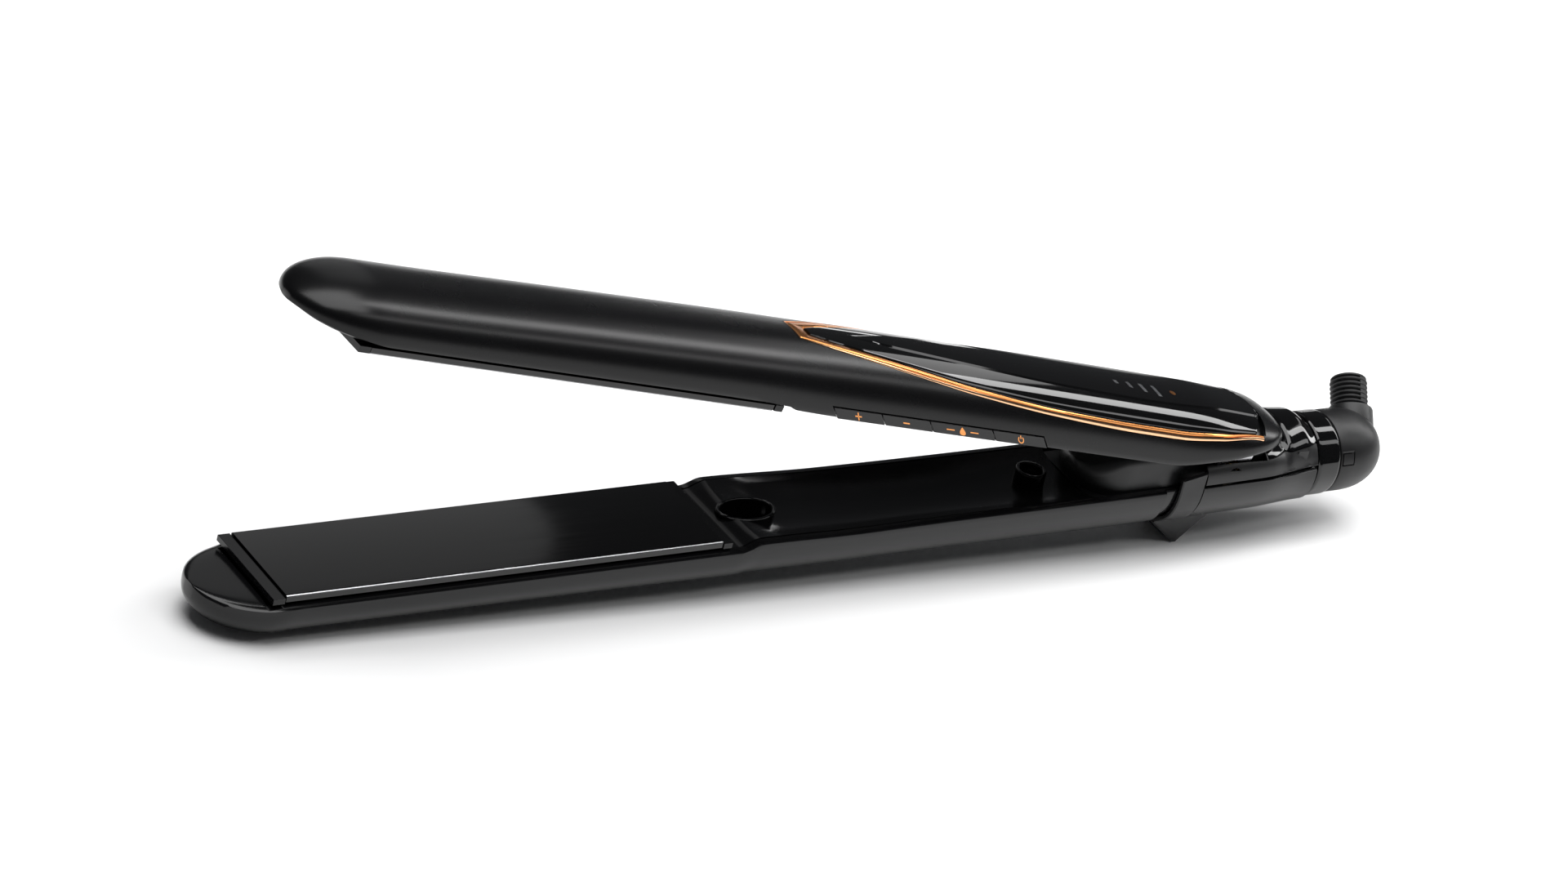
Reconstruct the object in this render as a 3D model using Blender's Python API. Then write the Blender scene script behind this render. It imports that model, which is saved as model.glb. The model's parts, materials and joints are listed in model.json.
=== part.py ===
"""Hair straightener (flat iron) with floating plate, side keys, slide lock and swivel cord exit.

Run with: blender --background --python part.py

Shapes are worked out in millimetres in the arm frame and turned into metres when an object is made.
Arm frame: x = 0 at the front edge of the lower plate and grows towards the hinge, y = 0 is the plane
that splits both arms lengthways, z = 0 is the face on which the two plates meet. The upper arm is
shaped closed, in the same frame, and its parent empty on the hinge axis then holds it open.
"""
import math

import bmesh
import bpy
from mathutils import Matrix, Vector

MM = 0.001

# Driving dimensions, millimetres and degrees.
PLATE_LENGTH = 110.0
PLATE_WIDTH = 25.6
PLATE_THICKNESS = 1.6
PLATE_RAIL_INNER = 8.4
PLATE_RAIL_OUTER = 9.6
PLATE_RAIL_DEPTH = 5.6
UPPER_PLATE_LIFT = 0.2
HEATER_THICKNESS = 2.2
ARM_HALF_WIDTH = 14.2
NOSE_TIP_X = -16.5
NOSE_LENGTH = 20.0
UPPER_TIP_Z = 5.3
WALL = 1.8
GAP = 0.3
HINGE_X = 252.0
OPEN_ANGLE = 13.4
PIN_RADIUS = 2.0
LUG_INNER_Y = 9.8
LUG_OUTER_Y = 10.7
LUG_RADIUS = 4.6
CORD_AXIS_Z = -4.4
COLLAR_RADIUS = 10.1
COLLAR_START_X = 280.0
COLLAR_END_X = 286.5
ELBOW_START_X = COLLAR_END_X + GAP
ELBOW_END_X = 303.4
TRIM_START_X = 116.7
TRIM_END_X = 256.0
INSERT_START_X = 121.3
KEY_EDGES = (126.3, 140.5, 154.8, 173.7, 189.5)
KEY_SLANT = 2.6
KEY_LOW_Z = 1.35
KEY_HIGH_Z = 3.95
KEY_POST_Z = 3.45
LOCK_START_X = 236.6
LOCK_END_X = 243.4
LOCK_TRAVEL = 3.5
LOCK_SKIN_GAP = 0.25
FLOAT_TRAVEL = 0.5
PAD_POSITIONS = (27.0, 80.0)
PAD_LENGTH = 3.0
SWIVEL_BORE_RADIUS = 6.3
ELBOW_RADIUS = 9.8

# The arm frame in the part's own frame: the lower arm lies on its tip and on the lock's fin.
REST_TILT = -1.908
ARM_FRAME_PLACE = (-144.696, -0.401, 13.126)

# Mesh settings: degrees within which faces count as flat, points round an arm's section and its
# two superellipse powers, over the crown and along the open edge.
FLAT_WITHIN = 0.15
CROWN_POINTS = 14
EDGE_POINTS = 4
CROWN_POWER = 2.3
EDGE_POWER = 4.0

LOWER = -1.0
UPPER = 1.0


# ---------------------------------------------------------------- curves that shape the arms

def smooth_curve(x, points):
    """Value at x on a smooth curve through (x, value) points, without overshoot between them."""
    if x <= points[0][0]:
        return points[0][1]
    if x >= points[-1][0]:
        return points[-1][1]
    slopes = [(b[1] - a[1]) / (b[0] - a[0]) for a, b in zip(points, points[1:])]
    tangents = [0.0]
    for before, after in zip(slopes, slopes[1:]):
        same_way = before * after > 0
        tangents.append(2 * before * after / (before + after) if same_way else 0.0)
    tangents.append(0.0)
    index = max(i for i, point in enumerate(points[:-1]) if point[0] <= x)
    (x0, v0), (x1, v1) = points[index], points[index + 1]
    width = x1 - x0
    t = (x - x0) / width
    start = (1 + 2 * t) * (1 - t) ** 2 * v0 + t * (1 - t) ** 2 * width * tangents[index]
    end = t * t * (3 - 2 * t) * v1 + t * t * (t - 1) * width * tangents[index + 1]
    return start + end


def rounded_end(distance, length, power):
    """Falls from 1 to 0 as distance goes from 0 to length, like a superellipse's quarter."""
    share = min(max(distance / length, 0.0), 1.0)
    return (1.0 - share ** power) ** (1.0 / power)


def nose_share(x, power=2.0):
    """1 behind the nose, falling to 0 at the very tip of an arm."""
    return rounded_end(NOSE_TIP_X + NOSE_LENGTH - x, NOSE_LENGTH, power)


def lower_half_width(x):
    body = smooth_curve(x, [(116, 14.2), (175, 13.4), (236, 13.2), (262, 12.5), (280, 10.1)])
    return body * nose_share(x)


def lower_wide_z(x):
    """Height of the widest line of the lower arm."""
    return smooth_curve(x, [(-4, -4.5), (4, -3.0), (114, -3.0), (121, -1.4), (150, -2.1),
                            (236, -2.2), (262, -3.0), (280, CORD_AXIS_Z)])


def lower_rim_z(x):
    """Height of the lower shell's upper edge."""
    return smooth_curve(x, [(-4, -2.5), (4, -2.2), (115.5, -2.2), (120, -0.6), (150, -1.3),
                            (236, -1.3), (280, -1.6)])


def lower_bottom_z(x):
    body = smooth_curve(x, [(4, -13.2), (60, -13.4), (150, -14.2), (252, -14.6), (280, -14.5)])
    return -4.5 + (body + 4.5) * nose_share(x, 2.3)


def upper_half_width(x):
    rear = rounded_end(x - 240.0, 27.0, 3.0)
    return ARM_HALF_WIDTH * nose_share(x) * rear


def upper_wide_z(x):
    return smooth_curve(x, [(NOSE_TIP_X, UPPER_TIP_Z), (-4, 4.6), (4, 3.4), (112.5, 3.4),
                            (116.4, 2.1), (229, 2.0), (245, 4.8), (257, 7.8), (267, 9.6)])


def upper_rim_z(x):
    return smooth_curve(x, [(NOSE_TIP_X, UPPER_TIP_Z - 0.9), (-12, 2.9), (-4, 2.5), (112.9, 2.5),
                            (115.8, 1.3), (229, 1.2), (245, 3.9), (257, 7.0), (267, 9.0)])


def upper_crown_z(x):
    body = smooth_curve(x, [(4, 12.6), (60, 13.6), (116, 14.6), (150, 15.0), (200, 14.7),
                            (240, 14.3), (260, 13.4)])
    rear = 9.6 + (body - 9.6) * rounded_end(x - 256.0, 11.0, 2.6)
    return UPPER_TIP_Z + (rear - UPPER_TIP_Z) * nose_share(x, 1.8)


LOWER_ARM = (lower_half_width, lower_wide_z, lower_rim_z, lower_bottom_z, LOWER)
UPPER_ARM = (upper_half_width, upper_wide_z, upper_rim_z, upper_crown_z, UPPER)


def signed_power(value, power):
    return math.copysign(abs(value) ** power, value)


def arm_ring(arm, x, inset=0.0, reach=None):
    """Cross-section of an arm at x, inset from its skin, its open side moved out by reach."""
    half_width, wide_z, rim_z, crown_z, side = arm
    width = half_width(x) - inset
    middle = wide_z(x)
    crown = abs(crown_z(x) - middle) - inset
    edge = abs(middle - rim_z(x)) if reach is None else reach
    ring = []
    for step in range(CROWN_POINTS + 1):
        angle = math.pi * step / CROWN_POINTS
        y = width * signed_power(math.cos(angle), 2 / CROWN_POWER)
        z = middle + side * crown * signed_power(math.sin(angle), 2 / CROWN_POWER)
        ring.append((x, y, z))
    for step in range(1, EDGE_POINTS + 1):
        angle = math.pi * (1 + step / (EDGE_POINTS + 1))
        if reach is None:
            y = width * signed_power(math.cos(angle), 2 / EDGE_POWER)
            z = middle + side * edge * signed_power(math.sin(angle), 2 / EDGE_POWER)
        else:
            y = -width + 2 * width * (step - 1) / (EDGE_POINTS - 1)
            z = middle - side * edge
        ring.append((x, y, z))
    return ring


def nose_stations():
    """Positions along the nose, closer together towards its tip."""
    steps = 9
    return [NOSE_TIP_X + NOSE_LENGTH * (1 - math.cos(0.5 * math.pi * i / steps)) + 0.15
            for i in range(steps)]


# ---------------------------------------------------------------- mesh tools

def mesh_from(builder):
    mesh = bpy.data.meshes.new("shape")
    bmesh.ops.recalc_face_normals(builder, faces=builder.faces)
    bmesh.ops.triangulate(builder, faces=builder.faces)
    builder.to_mesh(mesh)
    builder.free()
    return mesh


def loft(rings):
    """Closed solid through a list of rings that all have the same number of points."""
    builder = bmesh.new()
    rows = [[builder.verts.new(point) for point in ring] for ring in rings]
    count = len(rows[0])
    for first, second in zip(rows, rows[1:]):
        for i in range(count):
            j = (i + 1) % count
            builder.faces.new((first[i], first[j], second[j], second[i]))
    builder.faces.new(rows[0])
    builder.faces.new(rows[-1])
    return mesh_from(builder)


def box(low, high, bevel=0.0):
    builder = bmesh.new()
    bmesh.ops.create_cube(builder, size=1.0)
    size = Vector(high) - Vector(low)
    centre = (Vector(high) + Vector(low)) / 2
    bmesh.ops.scale(builder, vec=size, verts=builder.verts)
    bmesh.ops.translate(builder, vec=centre, verts=builder.verts)
    if bevel:
        bmesh.ops.bevel(builder, geom=list(builder.edges), offset=bevel, segments=1,
                        affect="EDGES", profile=0.5)
    return mesh_from(builder)


def prism(outline, axis, start, end):
    """Outline of 2-D points pushed along axis Y (points are x, z) or Z (points are x, y)."""
    if axis == "Y":
        rings = [[(a, level, b) for a, b in outline] for level in (start, end)]
    else:
        rings = [[(a, b, level) for a, b in outline] for level in (start, end)]
    return loft(rings)


def turned(profile, centre, direction, sides=24):
    """Solid of revolution: profile is a closed list of (distance along axis, radius) points."""
    rotation = Vector((1, 0, 0)).rotation_difference(Vector(direction)).to_matrix()
    builder = bmesh.new()
    rows = []
    for along, radius in profile:
        row = []
        for i in range(sides):
            angle = 2 * math.pi * i / sides
            local = Vector((along, radius * math.cos(angle), radius * math.sin(angle)))
            row.append(builder.verts.new(rotation @ local + Vector(centre)))
            if radius == 0:
                break
        rows.append(row)
    for first, second in zip(rows, rows[1:] + rows[:1]):
        for i in range(sides):
            j = (i + 1) % sides
            if len(first) == 1 and len(second) == 1:
                break
            if len(first) == 1:
                builder.faces.new((first[0], second[j], second[i]))
            elif len(second) == 1:
                builder.faces.new((first[i], first[j], second[0]))
            else:
                builder.faces.new((first[i], first[j], second[j], second[i]))
    return mesh_from(builder)


def rod(start, end, radius, sides=20):
    """Plain round bar between two points."""
    length = (Vector(end) - Vector(start)).length
    direction = (Vector(end) - Vector(start)).normalized()
    return turned([(0, 0), (0, radius), (length, radius), (length, 0)], start, direction, sides)


def sleeve(start, end, bore, radius, sides=24):
    """Round tube between two points."""
    length = (Vector(end) - Vector(start)).length
    direction = (Vector(end) - Vector(start)).normalized()
    profile = [(0, bore), (0, radius), (length, radius), (length, bore)]
    return turned(profile, start, direction, sides)


def tube_along(points, radius, sides=8):
    """Round wire through points, with flat ends."""
    points = [Vector(point) for point in points]
    rings = []
    for i, point in enumerate(points):
        ahead = points[min(i + 1, len(points) - 1)]
        behind = points[max(i - 1, 0)]
        tangent = (ahead - behind).normalized()
        helper = Vector((0, 0, 1)) if abs(tangent.z) < 0.8 else Vector((0, 1, 0))
        across = tangent.cross(helper).normalized()
        up = across.cross(tangent)
        ring = []
        for k in range(sides):
            angle = 2 * math.pi * k / sides
            offset = across * math.cos(angle) + up * math.sin(angle)
            ring.append(tuple(point + radius * offset))
        rings.append(ring)
    return loft(rings)


def boolean(target, other, operation):
    body = bpy.data.objects.new("body", target)
    tool = bpy.data.objects.new("tool", other)
    for item in (body, tool):
        bpy.context.scene.collection.objects.link(item)
    modifier = body.modifiers.new("cut", "BOOLEAN")
    modifier.operation = operation
    modifier.solver = "EXACT"
    modifier.object = tool
    bpy.context.view_layer.update()
    graph = bpy.context.evaluated_depsgraph_get()
    result = bpy.data.meshes.new_from_object(body.evaluated_get(graph))
    for item in (body, tool):
        bpy.data.objects.remove(item)
    return result


def cut(target, *tools):
    for tool in tools:
        target = boolean(target, tool, "DIFFERENCE")
    return target


def join(target, *others):
    for other in others:
        target = boolean(target, other, "UNION")
    return target


def common(target, other):
    return boolean(target, other, "INTERSECT")


def cleaned(mesh):
    """The same solid with near-identical corners welded and flat areas cut into few triangles."""
    builder = bmesh.new()
    builder.from_mesh(mesh)
    bmesh.ops.remove_doubles(builder, verts=builder.verts, dist=0.0005)
    bmesh.ops.dissolve_limit(builder, angle_limit=math.radians(FLAT_WITHIN), verts=builder.verts,
                             edges=builder.edges)
    return mesh_from(builder)


# ---------------------------------------------------------------- materials, empties and objects

MATERIALS = {
    "soft_touch_black": ((0.012, 0.012, 0.013), 0.42, 0.0),
    "satin_black": ((0.010, 0.010, 0.011), 0.28, 0.0),
    "gloss_black": ((0.004, 0.004, 0.005), 0.06, 0.0),
    "copper": ((0.78, 0.36, 0.14), 0.22, 1.0),
    "plate_coating": ((0.008, 0.008, 0.009), 0.08, 0.2),
    "frame_plastic": ((0.015, 0.015, 0.016), 0.50, 0.0),
    "rubber_black": ((0.018, 0.018, 0.019), 0.65, 0.0),
    "steel": ((0.55, 0.55, 0.57), 0.30, 1.0),
    "brass": ((0.70, 0.52, 0.22), 0.30, 1.0),
    "ceramic": ((0.78, 0.76, 0.70), 0.60, 0.0),
    "circuit_green": ((0.03, 0.20, 0.08), 0.45, 0.0),
    "silicone": ((0.55, 0.15, 0.10), 0.55, 0.0),
    "wire": ((0.75, 0.72, 0.66), 0.50, 0.0),
}


def make_material(name):
    existing = bpy.data.materials.get(name)
    if existing:
        return existing
    colour, roughness, metallic = MATERIALS[name]
    material = bpy.data.materials.new(name)
    material.use_nodes = True
    shader = material.node_tree.nodes["Principled BSDF"]
    shader.inputs["Base Color"].default_value = (*colour, 1.0)
    shader.inputs["Roughness"].default_value = roughness
    shader.inputs["Metallic"].default_value = metallic
    return material


def make_empty(name, place, parent=None, tilt=0.0):
    """Empty at a place in its parent's frame (millimetres), turned about Y by tilt degrees."""
    empty = bpy.data.objects.new(name, None)
    bpy.context.scene.collection.objects.link(empty)
    empty.parent = parent
    empty.location = Vector(place) * MM
    empty.rotation_euler = (0.0, math.radians(tilt), 0.0)
    return empty


def make_part(name, mesh, group, material, origin=None):
    """Object from a mesh in arm-frame millimetres, parented to its group's empty."""
    empty, offset = group
    base = Vector(origin) if origin else Vector(offset)
    mesh = cleaned(mesh)
    mesh.transform(Matrix.Scale(MM, 4) @ Matrix.Translation(-base))
    mesh.name = name
    part = bpy.data.objects.new(name, mesh)
    bpy.context.scene.collection.objects.link(part)
    part.parent = empty
    part.location = (base - Vector(offset)) * MM
    mesh.materials.clear()
    mesh.materials.append(make_material(material))
    mesh.shade_smooth()
    mesh.set_sharp_from_angle(angle=math.radians(35))
    return part


# ---------------------------------------------------------------- outer shells

def arm_solid(arm, stations, inset=0.0):
    return loft([arm_ring(arm, x, inset) for x in stations])


def arm_cavity(arm, end_x, step_x, reach):
    """Hollow of an arm: closed over inside the nose, open towards the other arm behind step_x."""
    closed = [-12.0, -9.0, -6.0, step_x]
    opened = [step_x + 0.05, 4.0, 40.0, 80.0, 112.0, 117.0, 121.0, 135.0, 155.0, 175.0,
              200.0, 220.0, 236.0, 244.0, 250.0, 256.0, 262.0, 270.0, 276.0, 281.0]
    rings = [arm_ring(arm, x, WALL, 0.2) for x in closed]
    rings += [arm_ring(arm, x, WALL, reach) for x in opened if x <= end_x]
    return loft(rings)


def lower_stations():
    straight = [4.0, 30.0, 60.0, 90.0, 113.0, 115.0, 116.5, 118.0, 119.5, 121.0, 130.0, 142.0,
                160.0, 180.0, 205.0, 225.0, 236.0, 244.0, 252.0, 260.0, 267.0, 273.0, 279.5]
    return nose_stations() + straight


def upper_stations():
    straight = [4.0, 30.0, 60.0, 90.0, 112.7, 113.7, 114.6, 115.8, 120.0, 130.0, 145.0, 165.0,
                185.0, 205.0, 222.0, 232.0, 238.0, 244.0, 249.0, 253.0, 257.0, 260.0, 262.5,
                264.5, 266.0, 266.8]
    return nose_stations() + straight


def lock_groove():
    """Room in the lower arm's skin for the lock's band to slide in."""
    start = LOCK_START_X - LOCK_TRAVEL - GAP
    end = LOCK_END_X + GAP
    outer = loft([arm_ring(LOWER_ARM, x, -3.0) for x in (start, end)])
    inner = loft([arm_ring(LOWER_ARM, x, 1.0) for x in (start - 1, end + 1)])
    return cut(outer, inner)


def lower_outer_shell():
    shell = arm_solid(LOWER_ARM, lower_stations())
    shell = cut(shell, arm_cavity(LOWER_ARM, 281.0, -3.6, 12.0))
    shell = cut(shell, lock_groove())
    stem_slot = box((LOCK_START_X - 1.6, -3.2, -20), (LOCK_END_X - 0.1, 3.2, -8))
    above_rim = []
    for x in (205.0, 236.0, 250.0, 262.0, 281.0):
        low = lower_rim_z(x)
        above_rim.append([(x, -20, low), (x, 20, low), (x, 20, 20), (x, -20, 20)])
    return cut(shell, stem_slot, loft(above_rim))


def trim_outer_y(x):
    return smooth_curve(x, [(106, 0.0), (TRIM_START_X, 3.6), (126, 6.0), (146, 9.3), (167, 11.4),
                            (192, 12.5), (218, 12.9), (243, 12.9), (TRIM_END_X, 12.1)])


def trim_inner_y(x):
    return smooth_curve(x, [(115, -0.6), (INSERT_START_X, 1.6), (127.5, 3.6), (146, 7.4),
                            (167, 10.1), (192, 11.5), (218, 11.8), (243, 11.8),
                            (TRIM_END_X, 11.0)])


def leaf_outline(half_width, start_x, end_x, bulge):
    """Leaf-shaped outline seen from above: blunt towards the tip, bowed across the rear."""
    steps = 16
    xs = [start_x + (end_x - start_x) * (i / steps) ** 1.6 for i in range(steps + 1)]
    far = [(x, half_width(x)) for x in xs]
    edge = far[-1][1]
    bow = [(end_x + bulge * (1 - (k / 3.0 - 1) ** 2), edge * (1 - k / 3.0)) for k in range(1, 6)]
    near = [(x, -y) for x, y in reversed(far)]
    return far + bow + near


def leaf_block(margin, edge, start_x, end_x, bulge):
    outline = leaf_outline(lambda x: max(edge(x), 0.4) + margin, start_x, end_x, bulge)
    under_rear = box((244.0, -20.0, 4.0), (256.3, 20.0, 7.6 - margin))
    return cut(prism(outline, "Z", 5.0, 22.0), under_rear)


def insert_block(margin):
    return leaf_block(margin, trim_inner_y, INSERT_START_X - margin, 256.6 + margin, 2.0)


def trim_block(margin):
    return leaf_block(margin, trim_outer_y, TRIM_START_X - margin, TRIM_END_X + margin, -1.0)


def skin_layer(region, top_inset, depth):
    """The part of a region that lies between two depths under the upper arm's skin."""
    outside = arm_solid(UPPER_ARM, handle_stations(), top_inset)
    inside = arm_solid(UPPER_ARM, handle_stations(), depth)
    return cut(common(region, outside), inside)


def handle_stations():
    return [x for x in upper_stations() if 110.0 < x < 263.0]


def key_window():
    start, end = KEY_EDGES[0], KEY_EDGES[-1]
    outline = [(start - 1.0, -2.0), (end + 3.0, -2.0), (end + 0.4, 4.3), (start - 2.3, 4.3)]
    return prism(outline, "Y", -16.0, -11.9)


def upper_outer_shell():
    shell = arm_solid(UPPER_ARM, upper_stations())
    shell = cut(shell, arm_cavity(UPPER_ARM, 262.0, -3.6, 12.0))
    pocket = join(trim_block(0.2), insert_block(0.2))
    floor = arm_solid(UPPER_ARM, handle_stations(), 1.2)
    shell = cut(shell, cut(pocket, floor), key_window())
    rear_relief = [(244.0, -6.0), (270.0, -6.0), (270.0, 8.9), (262.0, 8.9), (244.0, 4.4)]
    return cut(shell, prism(rear_relief, "Y", -11.0, 11.0))


def upper_skin_z(x, y, inset=0.0):
    """Height of the upper arm's skin, or of a surface inset from it, over a point."""
    width = upper_half_width(x) - inset
    middle = upper_wide_z(x)
    share = min(abs(y) / width, 1.0)
    crown = upper_crown_z(x) - middle - inset
    return middle + crown * (1.0 - share ** CROWN_POWER) ** (1.0 / CROWN_POWER)


def insert_half_width(x):
    """Half-width of the gloss insert: leaf-shaped, with a bowed rear edge."""
    bow = math.sqrt(max(1.0 - max(x - 254.0, 0.0) / 4.4, 0.02))
    return (max(trim_inner_y(x), 0.4) - 0.15) * bow


def gloss_insert():
    """Thin leaf that follows the skin, flush with it."""
    stations = [INSERT_START_X + 0.2, 124.5, 128.5, 132.0, 137.0, 144.0, 153.0, 165.0, 180.0, 198.0, 216.0, 232.0,
                244.0, 251.0, 254.0, 255.8, 257.2, 258.2]
    columns = 8
    rings = []
    for x in stations:
        half = insert_half_width(x)
        row = [half * (2.0 * i / columns - 1.0) for i in range(columns + 1)]
        top = [(x, y, upper_skin_z(x, y)) for y in row]
        bottom = [(x, y, upper_skin_z(x, y, 0.9)) for y in reversed(row)]
        rings.append(top + bottom)
    return loft(rings)


def copper_trim():
    band = cut(trim_block(0.0), insert_block(0.1))
    return skin_layer(band, 0.0, 0.9)


# ---------------------------------------------------------------- plates and what is under them

def plate_profile():
    """Cross-section (y, z) of the upper plate with the two rails that hold its heater."""
    half = PLATE_WIDTH / 2
    under = PLATE_THICKNESS
    right = [(half - 0.5, 0.0), (half, 0.45), (half, under), (PLATE_RAIL_OUTER, under + 0.06),
             (PLATE_RAIL_OUTER, PLATE_RAIL_DEPTH), (PLATE_RAIL_INNER, PLATE_RAIL_DEPTH),
             (PLATE_RAIL_INNER, under - 0.1)]
    return right + [(-y, z) for y, z in reversed(right)]


def plate(side, lift):
    rings = [[(x, y, z + lift) for y, z in plate_profile()] for x in (0.0, PLATE_LENGTH)]
    return mirrored(loft(rings), side)


def plate_frame(side, clearance):
    """Heat-resistant tray: side rails, cross bars and the two raised end strips."""
    top = 2.2 + clearance
    outline = [(-11.1, top), (-11.1, 6.0), (-9.9, 7.9), (9.9, 7.9), (11.1, 6.0), (11.1, top)]
    front = [(y, min(z, 6.4)) for y, z in outline]
    stations = ((-2.6, front), (6.0, outline), (112.4, outline))
    tray = loft([[(x, y, z) for y, z in section] for x, section in stations])
    tray = cut(tray, box((-0.5, -10.0, top - 1), (110.5, 10.0, 9.0)))
    for x in PAD_POSITIONS:
        tray = join(tray, box((x, -10.3, 6.9 + clearance), (x + PAD_LENGTH, 10.3, 7.9)))
    strip_top = 2.2 if side == LOWER else 2.3
    for start, end in ((-3.2, -GAP), (PLATE_LENGTH + GAP, 112.6)):
        neck = box((start + 0.6, -10.5, 1.5), (end - 0.2, 10.5, top + 0.5))
        strip = box((start, -13.0, 0.5), (end, 13.0, strip_top - GAP), 0.25)
        tray = join(tray, neck, strip)
    return mirrored(tray, side)


def heater(side, lift):
    low = PLATE_THICKNESS + GAP + lift
    block = box((12.0, -6.5, low), (98.0, 6.5, low + HEATER_THICKNESS), 0.3)
    return mirrored(block, side)


def heater_clamp(side, lift):
    """Sprung steel strip that presses the heater against the plate."""
    low = PLATE_THICKNESS + 2 * GAP + HEATER_THICKNESS + lift
    steps, steps_per_wave, wave_height = 24, 6, 0.45
    under = []
    for i in range(steps + 1):
        x = 10.0 + 90.0 * i / steps
        rise = (1 - math.cos(2 * math.pi * i / steps_per_wave)) / 2
        under.append((x, low + wave_height * rise))
    over = [(x, z + 0.4) for x, z in reversed(under)]
    return mirrored(prism(under + over, "Y", -5.0, 5.0), side)


def mirrored(mesh, side):
    """The mesh itself for the upper arm, its mirror image in the plate face for the lower."""
    if side == UPPER:
        return mesh
    builder = bmesh.new()
    builder.from_mesh(mesh)
    bmesh.ops.scale(builder, vec=(1, 1, -1), verts=builder.verts)
    bmesh.ops.reverse_faces(builder, faces=builder.faces)
    return mesh_from(builder)


# ---------------------------------------------------------------- inner covers and their screws

FRONT_WELL_X = 124.0
REAR_WELL = (203.5, 1.5)


def oval(centre_x, centre_y, half_length, half_width, sides=24):
    points = []
    for i in range(sides):
        angle = 2 * math.pi * i / sides
        points.append((centre_x + half_length * math.cos(angle),
                       centre_y + half_width * math.sin(angle)))
    return points


def trough_depth(x):
    return smooth_curve(x, [(116, 0.0), (121, 0.4), (131, 2.4), (165, 3.0), (205, 1.8), (213, 1.7)])


def cover_top_z(x):
    return smooth_curve(x, [(115.0, -2.5), (120.5, -0.7), (150, -1.5), (236, -1.6)])


def lower_inner_cover():
    """Trough of the handle with a step at its front, a screw well and a ring-shaped screw boss."""
    rings = []
    across = 12
    for x in (113.2, 115.0, 116.5, 118.0, 119.5, 121.0, 124.0, 127.5, 132.0, 140.0, 155.0,
              175.0, 195.0, 205.0, 212.9):
        half = lower_half_width(x) - WALL - GAP
        top = []
        for i in range(across + 1):
            y = -half + 2 * half * i / across
            share = 1 - abs(y / half) ** 2.6
            top.append((x, y, cover_top_z(x) - trough_depth(x) * share))
        under = [(x, y * 0.985, z - 1.3) for x, y, z in reversed(top)]
        rings.append(top + under)
    cover = loft(rings)
    cup = prism(oval(FRONT_WELL_X, 0, 7.6, 4.9), "Z", -9.0, -1.2)
    boss = prism(oval(*REAR_WELL, 3.65, 3.65), "Z", -6.4, -1.0)
    cover = join(cover, cup, boss)
    cover = cut(cover, prism(oval(FRONT_WELL_X, 0, 6.6, 3.9), "Z", -7.8, 4.0))
    cover = cut(cover, prism(oval(*REAR_WELL, 2.7, 2.7), "Z", -5.2, 4.0))
    return cut(cover, rod((FRONT_WELL_X, 0, -12), (FRONT_WELL_X, 0, -5), 1.5, 12),
               rod((*REAR_WELL, -12), (*REAR_WELL, -4), 1.5, 12))


def pan_screw(place, head_under, direction, length=4.6):
    """Pan-head screw with a cross slot: its head's underside is at head_under."""
    x, y = place
    profile = [(0, 0), (0, 1.1), (length - 0.6, 1.1), (length, 0.6), (length, 0)]
    shank = turned(profile, (x, y, head_under), (0, 0, direction), 10)
    head_profile = [(-0.1, 0), (-0.1, 2.2), (0.8, 2.2), (1.4, 1.5), (1.4, 0)]
    head = turned(head_profile, (x, y, head_under), (0, 0, -direction), 16)
    low, high = sorted((head_under - direction * 0.8, head_under - direction * 2.0))
    slots = [box((x - 1.4, y - 0.25, low), (x + 1.4, y + 0.25, high)),
             box((x - 0.25, y - 1.4, low), (x + 0.25, y + 1.4, high))]
    return cut(join(shank, head), *slots)


def upper_inner_cover():
    """Flat cover under the upper handle, with a wall behind the electronics and a screw well."""
    rings = []
    half, thickness = 11.5, 1.3
    for x in (113.2, 114.2, 115.3, 116.4, 150.0, 204.0):
        low = smooth_curve(x, [(113.2, 2.8), (116.4, 1.5), (204, 1.5)])
        high = low + thickness
        rings.append([(x, -half, low), (x, half, low), (x, half, high), (x, -half, high)])
    cover = loft(rings)
    wall = box((202.7, -9.5, 1.8), (204.0, 9.5, 9.5))
    cup = prism(oval(FRONT_WELL_X, 0, 5.2, 4.6), "Z", 2.0, 8.6)
    cover = join(cover, wall, cup)
    cover = cut(cover, prism(oval(FRONT_WELL_X, 0, 4.2, 3.6), "Z", -2.0, 7.4))
    return cut(cover, rod((FRONT_WELL_X, 0, 5), (FRONT_WELL_X, 0, 12), 1.5, 12))


# ---------------------------------------------------------------- keys and electronics

KEY_NAMES = ("key_plus", "key_minus", "key_mode", "key_power")


def key_centre(index):
    return (KEY_EDGES[index] + KEY_EDGES[index + 1]) / 2


def key(index):
    """Flat-faced key with slanted ends and a round post that reaches its switch."""
    start, end = KEY_EDGES[index] + GAP / 2, KEY_EDGES[index + 1] - GAP / 2
    back_y = -12.35
    rings = []
    faces = ((KEY_LOW_Z, KEY_SLANT / 2, -14.05), (KEY_HIGH_Z, -KEY_SLANT / 2, -14.15))
    for z, shift, face_y in faces:
        rings.append([(start + shift, face_y, z), (end + shift, face_y, z),
                      (end + shift, back_y, z), (start + shift, back_y, z)])
    cap = loft(rings)
    post_x = key_centre(index)
    post = rod((post_x, -12.6, KEY_POST_Z), (post_x, -9.9, KEY_POST_Z), 0.45, 10)
    return join(cap, post)


def key_frame():
    """Bar behind the keys that guides their posts."""
    bar = box((124.5, -11.75, 3.05), (192.0, -10.6, 4.7))
    holes = [rod((key_centre(i), -13, KEY_POST_Z + 0.1), (key_centre(i), -9, KEY_POST_Z + 0.1),
                 0.95, 10) for i in range(4)]
    rear = box((124.5, -11.75, 4.2), (192.0, -10.6, 4.7))
    return join(cut(bar, *holes), rear)


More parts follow.
